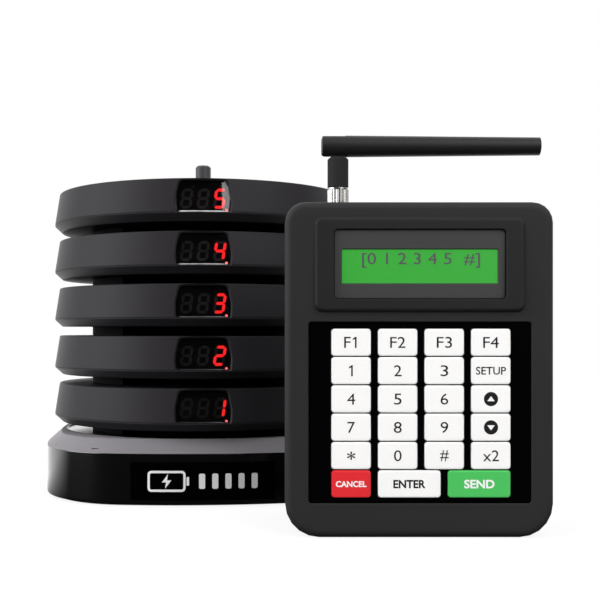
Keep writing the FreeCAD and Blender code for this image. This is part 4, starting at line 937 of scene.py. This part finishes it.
# The red dot on the sill glows as a painted reflection of the lit digit; nothing lights it there.
point_and_painted_reflection = glowing("point_and_painted_reflection", "ff5c5c", 1.2)
unlit_grey = moulded_plastic("unlit_segment", "6c6a6e", 0.5, 0.3, 0.002, specular=0.2)

for number, seat in SEATS.items():
    body = f"pager_{number}"
    lit = [(2, letter) for letter in DIGIT_SEGMENTS[number]]
    unlit = [(place, letter) for place in range(3) for letter in "abcdefg"]
    unlit = [bar for bar in unlit if bar not in lit]
    new_piece(digit_bars(f"{body}_lit_bars", lit, seat), body, [lit_red])
    new_piece(digit_bars(f"{body}_unlit_bars", unlit, seat), body, [unlit_grey])
    new_piece(point_mesh(f"{body}_point", seat), body, [point_and_painted_reflection])
    # The sills' tints are painted: a painted highlight on the upper sills, as if they caught the
    # table's light, and painted shade on the lower ones, as if in the shade of the pager above.
    edge = f"sill_painted_light_{number}"
    edge = moulded_plastic(edge, SILL_PAINTED_LIGHT[number], 0.2, 0.6, 0.01, mottle=0.3)
    new_piece(sill_strip(f"{body}_sill", seat), body, [edge])
    refinish(f"{body}_window", smoked)
    refinish(f"{body}_electronics", inside_finish)

# ------------------------------------------------------------
# Console, shells: a front and a rear shell moulded in black ABS with a fine spark-eroded skin,
# screwed together from behind. The front's raised bezel leans out towards its lower edge.

CONSOLE_X = 69.5
FACE_Y = -112.1
HALF_WIDTH = 39.05
CONSOLE_TOP = 97.7
LOW_CORNER, HIGH_CORNER = 9.9, 6.0
SHELL_DEPTH = 8
SHELL_WALL = 2.2
EDGE_ROUND = 2.2
BEZEL = (61.0, 27.4)
BEZEL_LOW = 65.6
BEZEL_TOP = BEZEL_LOW + BEZEL[1]
BEZEL_CORNER = 2.3
TOP_RISE, LOW_RISE = 0.5, 1.3
SURROUND = (49.7, 20.0)
SURROUND_MIDDLE = 79.5
SURROUND_DEPTH = 1.2
SCREEN = (45.2, 9.8)
SCREEN_MIDDLE = 78.85
PANEL = (64.5, 52.5)
PANEL_MIDDLE = 36.45
PANEL_BACK = 1.7
PANEL_LEDGE = 0.9
GAP = 0.1
MOUTH = 0.18
OPENING_CORNER = 0.5
INLET_MIDDLE = 18
INLET_FROM = 5.85
BOARD_BLOCK = 34
SCREW_HALF = 32.45
SCREW_HEIGHTS = (5.6, 91.1)
SCREW_SEAT = -98.1
SCREW_RADIUS, SCREW_RISE, SCREW_ROUND = 2.4, 1.5, 0.9
SCREW_STEPS = 32
CROSS_LONG, CROSS_WIDE, CROSS_FLOOR = 1.3, 0.25, 0.8


def stood(outline, depth):
    """An outline of x and z stood up at a depth behind the console's face, which may follow z."""
    x, z = outline[:, 0], outline[:, 1]
    return np.column_stack([x + CONSOLE_X, FACE_Y + depth + 0 * x, z])


def shell_outline(inset):
    """The console's outline drawn in: its corners' radii shrink with it."""
    half = HALF_WIDTH - inset
    low, high = LOW_CORNER - inset, HIGH_CORNER - inset
    foot, top = inset, CONSOLE_TOP - inset
    corners = [(-half, foot, low), (half, foot, low), (half, top, high), (-half, top, high)]
    return rounded_line(corners, closed=True)


def bezel_rise(z):
    """How far the bezel's front stands before the face: more towards its lower edge."""
    return TOP_RISE + (LOW_RISE - TOP_RISE) * (BEZEL_TOP - z) / BEZEL[1]


def bezel_mesh():
    """The bezel: its outline drawn in as it rises, y = -rise(z) f, with a rounded front edge."""
    steps = ((0, -1), (0, 0), (0.25, 0.5), (0.5, 0.8), (0.75, 0.95), (1.05, 1.0), (2.0, 1.0))
    middle = BEZEL_LOW + BEZEL[1] / 2
    rows = []
    for inset, share in steps:
        outline = rectangle(*grown(BEZEL, -inset), max(BEZEL_CORNER - inset, 0.4), z=middle)
        rows.append(stood(outline, -share * bezel_rise(outline[:, 1])))
    return grid_mesh("bezel", rows, caps=True)


def recess(size, corner, middle, depth, in_bezel=False):
    """A cutter for a recess with a fine broken mouth, from before the face to a depth behind it."""
    rows = []
    for grow, mouth in ((1.0, -1.0), (MOUTH, 0.0), (0.0, MOUTH)):
        outline = rectangle(*grown(size, grow), corner + grow, z=middle)
        rows.append(stood(outline, mouth - in_bezel * bezel_rise(outline[:, 1])))
    rows.append(stood(rectangle(*size, corner, z=middle), depth))
    return grid_mesh("recess_cutter", rows, caps=True)


def opening(size, middle):
    """A cutter for an opening right through the face."""
    outline = rectangle(*size, OPENING_CORNER, z=middle)
    rows = [stood(outline, depth) for depth in (-3, SHELL_DEPTH / 2)]
    return grid_mesh("opening_cutter", rows, caps=True)


def front_shell():
    """The front shell: the outline carried over a round edge to the face, bezel and openings."""
    edge = rounded_line([(0, SHELL_DEPTH), (0, 0, EDGE_ROUND), (4, 0)])
    rows = [stood(shell_outline(inset), y) for inset, y in edge]
    mesh = grid_mesh("console_front_moulding", rows, caps=True)
    mesh = combined(mesh, bezel_mesh(), "UNION")
    hollow = [stood(shell_outline(SHELL_WALL), y) for y in (SHELL_WALL, SHELL_DEPTH + 1)]
    wall = CONSOLE_X + HALF_WIDTH
    notch_low = (wall - SHELL_WALL - 1, FACE_Y + INLET_FROM, INLET_MIDDLE - INLET_HALF)
    notch_high = (wall + 1, FACE_Y + SHELL_DEPTH + 1, INLET_MIDDLE + INLET_HALF)
    for cutter in (
        grid_mesh("hollow_cutter", hollow, caps=True),
        recess(grown(SURROUND, GAP), 1.3, SURROUND_MIDDLE, SURROUND_DEPTH, in_bezel=True),
        opening(grown(SCREEN, 1), SCREEN_MIDDLE),
        recess(grown(PANEL, GAP), 0.9, PANEL_MIDDLE, PANEL_BACK),
        opening((PANEL[0] + 2 * GAP, PANEL[1] - 2 * PANEL_LEDGE), PANEL_MIDDLE),
        box_mesh(notch_low, notch_high),
    ):
        mesh = combined(mesh, cutter, "DIFFERENCE")
    return finish_where(mesh, lambda x, y, z: y < FACE_Y - TOP_RISE / 2)


def screw(name, x, z):
    """A pan-head screw in its recess: a domed disc with a cross cut in it, facing backwards."""
    corners = [(0.0, 0.0), (SCREW_RADIUS, 0.0), (SCREW_RADIUS, SCREW_RISE, SCREW_ROUND)]
    profile = rounded_line([*corners, (0.0, SCREW_RISE)])
    across, up, out = np.moveaxis(lathe(profile, SCREW_STEPS), -1, 0)
    mesh = grid_mesh(name, np.stack([across + x, out + SCREW_SEAT, up + z], -1))
    for half_x, half_z in ((CROSS_LONG, CROSS_WIDE), (CROSS_WIDE, CROSS_LONG)):
        low = (x - half_x, SCREW_SEAT + CROSS_FLOOR, z - half_z)
        high = (x + half_x, SCREW_SEAT + 2, z + half_z)
        mesh = combined(mesh, box_mesh(low, high), "DIFFERENCE")
    return mesh


def plated(name, size, tints, roughness):
    """A plated metal: bright, its tint and gloss clouded over a size in millimetres."""
    material, tree = new_tree(name)
    cloud = noise(tree, size, 2.0)
    gloss = ramp(tree, cloud, *roughness)
    return surfaced(material, tree, blend(tree, cloud, *tints), gloss, {"Metallic": 1.0})


# The eroded skin gives a dark grey that stays soft even where the edges turn.
console_plastic = moulded_plastic("spark_finish_abs", "2a2a2b", 0.55, 0.2, 0.012, specular=0.1)
bezel_plastic = moulded_plastic("satin_bezel_abs", "222223", 0.5, 0.3, 0.006, specular=0.1)
finishes = [console_plastic, bezel_plastic]
new_piece(front_shell(), "console", finishes, ["console_front_shell"])
refinish("console_rear_shell", console_plastic)
console_board = circuit_board("console_circuit_board", CONSOLE_X + BOARD_BLOCK, "X")
refinish("console_board", console_board)
# Zinc plate gives the screws a bright, slightly blue grey.
zinc = plated("zinc_plated_steel", 1, ("9a9da2", "c3c6ca"), (0.25, 0.4))
screws = [(CONSOLE_X + side * SCREW_HALF, z) for side in (-1, 1) for z in SCREW_HEIGHTS]
for number, spot in enumerate(screws, 1):
    mesh = screw(f"console_screw_{number}", *spot)
    new_piece(mesh, "console", [zinc])

# ------------------------------------------------------------
# Console, display: a dark grey frame laid in the bezel's recess, and a character display behind it
# with a green backlight and dark figures. The strip over the glass is bare.

SURROUND_FACE = 0.2
SURROUND_BREAK = 0.2
SCREEN_FACE = 0.5
FIGURES = "[0 1 2 3 4 5  #]"
FIGURES_SIZE = (34.2, 4.35)
FIGURES_PLACE = (69.85, FACE_Y + SCREEN_FACE, 80.6)
TEXT_EXTRUDE, TEXT_STEPS = 0.01, 4


def surround_mesh():
    """The frame: a ring of six outlines, its outer front edge and its inner edge broken."""
    front, mouth = SURROUND_FACE, grown(SCREEN, 0.1)
    rows = []
    for size, corner, middle, depth in (
        (SURROUND, 1.2, SURROUND_MIDDLE, SURROUND_DEPTH),
        (SURROUND, 1.2, SURROUND_MIDDLE, front + SURROUND_BREAK),
        (grown(SURROUND, -SURROUND_BREAK), 1.0, SURROUND_MIDDLE, front),
        (grown(mouth, SURROUND_BREAK), 0.8, SCREEN_MIDDLE, front),
        (mouth, 0.6, SCREEN_MIDDLE, front + SURROUND_BREAK),
        (mouth, 0.6, SCREEN_MIDDLE, SURROUND_DEPTH),
    ):
        rows.append(stood(rectangle(*size, corner, z=middle), depth))
    return grid_mesh("display_surround_moulding", rows, closed_rows=True)


def words(name, text, width, height, x, y, z, weight=0.0):
    """Printed words: a text made a mesh, stood up to face the front and fitted to a size."""
    curve = bpy.data.curves.new(name, "FONT")
    curve.body = text
    curve.offset = weight
    curve.extrude = TEXT_EXTRUDE
    curve.resolution_u = TEXT_STEPS
    ghost = placed(name + "_text", curve)
    depsgraph = bpy.context.evaluated_depsgraph_get()
    mesh = bpy.data.meshes.new_from_object(ghost.evaluated_get(depsgraph))
    bpy.data.objects.remove(ghost)
    bpy.data.curves.remove(curve)
    flat = np.empty(len(mesh.vertices) * 3)
    mesh.vertices.foreach_get("co", flat)
    flat = flat.reshape(-1, 3)
    across, up, out = ((flat - flat.min(0)) / np.ptp(flat, axis=0)).T
    spots = [x + (across - 0.5) * width, y - out * INK, z + (up - 0.5) * height]
    mesh.vertices.foreach_set("co", (np.stack(spots, -1) * MM).ravel())
    mesh.name = name
    return closed_up(mesh)


def backlit_lcd():
    """A green backlit display: even green with its own light, and faint checks of 0.6 mm."""
    material, tree = new_tree("backlit_lcd")
    tint = blend(tree, checks(tree, 0.6), "389e39", "3ba23c")
    more = {"Specular IOR Level": 0.2, "Emission Color": tint, "Emission Strength": 0.12}
    return surfaced(material, tree, tint, 0.3, more)


# The frame is a flat mid grey, and the figures are a dull purple where they block the light.
surround_grey = moulded_plastic("satin_grey_abs", "3f3f3f", 0.55, 0.3, 0.004, specular=0.12)
new_piece(surround_mesh(), "console", [surround_grey], ["display_surround"])
refinish("display_module", backlit_lcd())
figure_ink = moulded_plastic("lcd_figures", "554a58", 0.5, 0.2, 0.001, specular=0.2)
figures = words("display_figures", FIGURES, *FIGURES_SIZE, *FIGURES_PLACE)
new_piece(figures, "console", [figure_ink])

# ------------------------------------------------------------
# Keypad: hard keycaps moulded in white, red and green ABS with printed legends, standing through a
# polished black panel. A grey silicone mat behind them holds them up.

KEY_WIDTH, WIDE_KEY_WIDTH = 11.4, 18.15
WIDE_FROM = 15
KEY_LENGTH = 7.87
KEY_GAP = 0.2
KEY_CORNER = 0.95
PANEL_FACE, PANEL_BREAK = 0.5, 0.1
FLANGE_DEPTH, KEY_BACK = 1.75, 2.45
FLANGE = 0.5
FIGURE = 3.2
# The outline of a figure one, in shares of its height: a stem with a flag.
ONE = [(0.14, -0.5), (0.14, 0.5), (0.03, 0.5), (-0.2, 0.33), (-0.2, 0.2), (0.0, 0.31), (0.0, -0.5)]
# Each key's printed legend, row by row: its text and width, and for the words and the star also
# its height and extra weight. A figure one is left to ONE.
LEGENDS = {
    "f1": ("F", 1.85), "f2": ("F2", 4.4), "f3": ("F3", 4.4), "f4": ("F4", 4.5),
    "1": ("", 0), "2": ("2", 2.2), "3": ("3", 2.2), "setup": ("SETUP", 8.7, 2.3, 0.01),
    "4": ("4", 2.3), "5": ("5", 2.2), "6": ("6", 2.2),
    "7": ("7", 2.2), "8": ("8", 2.3), "9": ("9", 2.2),
    "star": ("*", 2.4, 2.4, 0.01), "0": ("0", 2.2), "hash": ("#", 2.45), "x2": ("x2", 4.6),
    "cancel": ("CANCEL", 8.9, 1.75, 0.03), "enter": ("ENTER", 9.3, 2.4, 0.03),
    "send": ("SEND", 8.8, 2.55, 0.03),
}
# The keys whose legend has a figure one, and how far right of the middle it stands.
ONE_SHIFTS = {"f1": 1.1, "1": 0}
DISC_RADIUS, DISC_STEPS = 2.06, 40
ARROW = [(-1.08, -0.62), (1.08, -0.62), (0, 0.86)]
ARROWS = {"up": 1, "down": -1}


def key_place(name):
    """Middle and width of a key, from its part in the frame."""
    low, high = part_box(f"key_{name}")
    middle = (low + high) / (2 * MM)
    wide = (high.x - low.x) / MM > WIDE_FROM
    return middle.x, middle.z, WIDE_KEY_WIDTH if wide else KEY_WIDTH


def keycap_mesh(name):
    """A keycap: a rounded rectangle carried from its flange to a face with a small round edge."""
    x, z, width = key_place(name)
    rows = []
    for wider, inset, depth in (
        (FLANGE, 0.0, KEY_BACK),
        (FLANGE, 0.0, FLANGE_DEPTH),
        (0.0, 0.0, FLANGE_DEPTH),
        (0.0, 0.0, 0.3),
        (0.0, 0.09, 0.09),
        (0.0, 0.3, 0.0),
        (0.0, 0.7, 0.0),
    ):
        size = (width + 2 * (wider - inset), KEY_LENGTH - 2 * inset)
        rows.append(stood(rectangle(*size, KEY_CORNER - inset, x - CONSOLE_X, z), depth))
    return grid_mesh(f"key_{name}_cap", rows, caps=True)


def panel_mesh():
    """The panel: a plate with round corners and a rounded hole for each key."""
    rows = []
    front = PANEL_FACE + PANEL_BREAK
    for inset, depth in ((0.0, PANEL_BACK), (0.0, front), (PANEL_BREAK, PANEL_FACE)):
        rows.append(stood(rectangle(*grown(PANEL, -inset), 0.8, z=PANEL_MIDDLE), depth))
    plate = grid_mesh("keypad_panel_plate", rows, caps=True)
    holes = []
    for name in (*LEGENDS, *ARROWS):
        x, z, width = key_place(name)
        width, height = grown((width, KEY_LENGTH), KEY_GAP)
        outline = rectangle(width, height - 0.1, KEY_CORNER, x - CONSOLE_X, z)
        rows = [stood(outline, depth) for depth in (0, PANEL_BACK + 1)]
        holes.append(grid_mesh("key_hole", rows, caps=True))
    return combined(plate, joined("key_holes", holes), "DIFFERENCE")


# The polish gives near black, the silicone a dull grey, and the caps plain bright colours.
panel_gloss = moulded_plastic("polished_black_abs", "030304", 0.12, 0.8, 0.002, specular=0.12)
new_piece(panel_mesh(), "console", [panel_gloss], ["keypad_panel"])
refinish("keypad_mat", moulded_plastic("grey_silicone", "6f7073", 0.6, 0.4, 0.01))
CAP_SKIN = {"roughness": 0.4, "grain": 0.3, "depth": 0.003, "specular": 0.3}
cap_white = moulded_plastic("white_abs", "f8f7f6", mottle=0.015, **CAP_SKIN)
cap_red = moulded_plastic("red_abs", "e02830", mottle=0.02, **CAP_SKIN)
cap_green = moulded_plastic("green_abs", "4ac05d", mottle=0.02, **CAP_SKIN)
black_ink = moulded_plastic("black_screen_ink", "161315", 0.6, **INK_SKIN)
KEY_FINISHES = {"cancel": (cap_red, "keycap_red"), "send": (cap_green, "keycap_green")}
for name in (*LEGENDS, *ARROWS):
    x, z, width = key_place(name)
    key = f"key_{name}"
    finish, slot = KEY_FINISHES.get(name, (cap_white, "keycap_white"))
    new_piece(keycap_mesh(name), key, [finish], [key])
    if name in LEGENDS:
        text, width, height, weight = (*LEGENDS[name], FIGURE, 0)[:4]
        shift = ONE_SHIFTS.get(name, 0)
        meshes = []
        if text:
            place = (x - shift, FACE_Y, z)
            meshes.append(words(f"{key}_text", text, width, height, *place, weight))
        if name in ONE_SHIFTS:
            one = np.array(ONE) * FIGURE + (x + shift, z)
            meshes.append(slab(f"{key}_one", one, FACE_Y - INK, FACE_Y))
        ink = white_ink if name in KEY_FINISHES else black_ink
        new_piece(joined(f"{key}_legend", meshes), key, [ink])
    else:
        disc = circle(x, z, DISC_RADIUS, DISC_STEPS)
        disc = slab(f"{key}_disc", disc, FACE_Y - INK, FACE_Y)
        new_piece(disc, key, [black_ink])
        arrow = np.array(ARROW) * (1, ARROWS[name]) + (x, z)
        arrow = slab(f"{key}_arrow", arrow, FACE_Y - 2 * INK, FACE_Y - INK)
        new_piece(arrow, key, [white_ink])

# ------------------------------------------------------------
# Antenna: a nickel-plated brass connector with a knurled collar, a black sleeve that turns on it,
# and a rod moulded in black rubber-like plastic, forked at its heel round the sleeve's flat neck.

AXIS_X, AXIS_Y = 46.6, -100.0
CONNECTOR_FOOT, CONNECTOR_TOP = 96.7, 103.2
THREAD_RADIUS, THREAD_LENGTH = 2.2, 4.5
COLLAR_RADIUS = 3.25
STUB_RADIUS, STUB_LENGTH = 1.6, 2.8
KNURLS, KNURL_DEPTH, KNURL_STEPS = 22, 0.16, 8
SLEEVE_FOOT, SLEEVE_TOP = 103.25, 112.3
SLEEVE_RADIUS, SLEEVE_BORE, SLEEVE_STEPS = 3.15, 1.66, 64
HINGE_X, HINGE_Z = AXIS_X - 1.9, 117.65
NECK_HALF = 1.4
NECK_LEFT, NECK_RIGHT = AXIS_X - 2.1, AXIS_X + 2.0
NECK_SHOULDER = HINGE_Z - 2.67
PIN_RADIUS, PIN_HALF, PIN_HOLE, PIN_STEPS = 0.5, 2.1, 0.55, 24
ARM_Z = 115.75
ARM_RADIUS, ARM_STEPS = 3.25, 72
ARM_HEEL, ARM_REACH = 4.9, 60.7
TIP_RADIUS, TIP_STEPS, TIP_SHIFT = 2.7, 12, 0.1
SLOT_HALF, SLOT_END = 1.55, 2.25
SWING, SWING_STEPS = 5.2, 12


def about_axis(points):
    """Points about the antenna's axis moved to their place."""
    return points + np.array([AXIS_X, AXIS_Y, 0])


def connector_mesh():
    """The connector turned about its axis, its collar waved round it: r - d (1 - cos n t) / 2."""
    shape = [
        (0.0, CONNECTOR_FOOT - THREAD_LENGTH, 0),
        (THREAD_RADIUS, CONNECTOR_FOOT - THREAD_LENGTH, 0),
        (THREAD_RADIUS, CONNECTOR_FOOT, 0),
        (COLLAR_RADIUS, CONNECTOR_FOOT, 0),
        (COLLAR_RADIUS, CONNECTOR_FOOT + 0.5, 0),
        (COLLAR_RADIUS, CONNECTOR_FOOT + 0.6, 1),
        (COLLAR_RADIUS, CONNECTOR_TOP - 0.8, 1),
        (COLLAR_RADIUS, CONNECTOR_TOP - 0.7, 0),
        (COLLAR_RADIUS, CONNECTOR_TOP - 0.2, 0),
        (COLLAR_RADIUS - 0.2, CONNECTOR_TOP, 0),
        (STUB_RADIUS, CONNECTOR_TOP, 0),
        (STUB_RADIUS, CONNECTOR_TOP + STUB_LENGTH, 0),
        (0.0, CONNECTOR_TOP + STUB_LENGTH, 0),
    ]
    shape = np.array(shape, float)
    count = KNURLS * KNURL_STEPS
    points = lathe(shape[:, :2], count)
    wave = KNURL_DEPTH * (1 - np.cos(np.arange(count) * 2 * math.pi * KNURLS / count)) / 2
    points[..., :2] *= (1 - shape[:, 2:] * wave / COLLAR_RADIUS)[..., None]
    return grid_mesh("antenna_connector_turned", about_axis(points))


def sleeve_mesh():
    """The sleeve turned about its axis, with a bore for the stub and a small sloped shoulder."""
    bore_top = CONNECTOR_TOP + STUB_LENGTH + 0.05
    corners = [
        (0.0, bore_top),
        (SLEEVE_BORE, bore_top),
        (SLEEVE_BORE, SLEEVE_FOOT),
        (SLEEVE_RADIUS, SLEEVE_FOOT, 0.2),
        (SLEEVE_RADIUS, SLEEVE_TOP - 0.6, 0.3),
        (SLEEVE_RADIUS - 0.6, SLEEVE_TOP, 0.2),
        (0.0, SLEEVE_TOP),
    ]
    points = lathe(rounded_line(corners), SLEEVE_STEPS)
    return grid_mesh("antenna_sleeve_turned", about_axis(points))


def across_axis(name, outline, half):
    """A slab of an outline of x and z that lies half and half about the antenna's axis."""
    return slab(name, outline, AXIS_Y - half, AXIS_Y + half)


def neck_mesh():
    """The neck: a flat tongue with a round head about the hinge, and the pin's hole in it."""
    corners = [
        (NECK_LEFT, SLEEVE_TOP - 0.5),
        (NECK_RIGHT, SLEEVE_TOP - 0.5),
        (NECK_RIGHT, NECK_SHOULDER, 0.4),
        (HINGE_X + 1.0, HINGE_Z + 0.3, 0.5),
        (HINGE_X, HINGE_Z + 1.0, 0.6),
        (HINGE_X - 0.95, HINGE_Z, 0.4),
        (NECK_LEFT, NECK_SHOULDER, 0.3),
    ]
    mesh = across_axis("antenna_neck", rounded_line(corners, closed=True), NECK_HALF)
    hole = across_axis("pin_cutter", circle(HINGE_X, HINGE_Z, PIN_HOLE, PIN_STEPS), 3)
    return combined(mesh, hole, "DIFFERENCE")


def arm_mesh():
    """The rod: a circle carried along X and drawn in to its tip, forked round the neck at its heel.

    The tip is hollow: its rows go back to the axis by R cos a, with a radius of R sin a.
    """
    a = np.linspace(math.pi / 2, 0, TIP_STEPS)
    tip = np.minimum(ARM_REACH + TIP_SHIFT - np.cos(a) * TIP_RADIUS, ARM_REACH)
    heel = [-ARM_HEEL, -ARM_HEEL, -ARM_HEEL + 0.12, -ARM_HEEL + 0.4]
    along = np.concatenate([heel, [0, 20, 40], tip])
    radius = [0, ARM_RADIUS - 0.4, ARM_RADIUS - 0.12, ARM_RADIUS, ARM_RADIUS, 3.07, 2.88]
    radius = np.concatenate([radius, np.sin(a) * TIP_RADIUS])[:, None]
    t = np.arange(ARM_STEPS) * 2 * math.pi / ARM_STEPS
    x = AXIS_X + along[:, None] + 0 * t
    points = np.stack([x, AXIS_Y + radius * np.cos(t), ARM_Z + radius * np.sin(t)], -1)
    mesh = grid_mesh("antenna_rod_moulding", points)
    slot_low = (AXIS_X - ARM_HEEL - 1, AXIS_Y - SLOT_HALF, ARM_Z - 5)
    slot_high = (AXIS_X + SLOT_END, AXIS_Y + SLOT_HALF, ARM_Z + 5)
    mesh = combined(mesh, box_mesh(slot_low, slot_high), "DIFFERENCE")
    a = np.linspace(math.pi, 1.5 * math.pi, SWING_STEPS)
    arc = np.column_stack([SWING * np.cos(a), SWING * np.sin(a)])
    heel = np.concatenate([arc, [(0, -8), (-8, -8), (-8, 0)]]) + (HINGE_X, HINGE_Z)
    mesh = combined(mesh, across_axis("heel_cutter", heel, 5), "DIFFERENCE")
    pin = circle(HINGE_X, HINGE_Z, PIN_RADIUS, PIN_STEPS)
    return combined(mesh, across_axis("hinge_pin", pin, PIN_HALF), "UNION")


# The plating gives white and grey stripes round the collar, the rod a soft black with a grey top,
# and the sleeve a dull dark grey.
nickel = plated("nickel_plated_brass", 0.5, ("a9a7a4", "bebcb9"), (0.24, 0.32))
rod_black = moulded_plastic("black_rubber_like_tpe", "1e1e1f", 0.45, 0.2, 0.006, specular=0.2)
sleeve_black = moulded_plastic("matt_sleeve_abs", "29292a", 0.7, 0.2, 0.006, specular=0.05)
new_piece(connector_mesh(), "console", [nickel], ["antenna_connector"])
new_piece(sleeve_mesh(), "antenna_sleeve", [sleeve_black], ["antenna_swivel"])
new_piece(neck_mesh(), "antenna_sleeve", [sleeve_black])
new_piece(arm_mesh(), "antenna_rod", [rod_black], ["antenna_arm"])
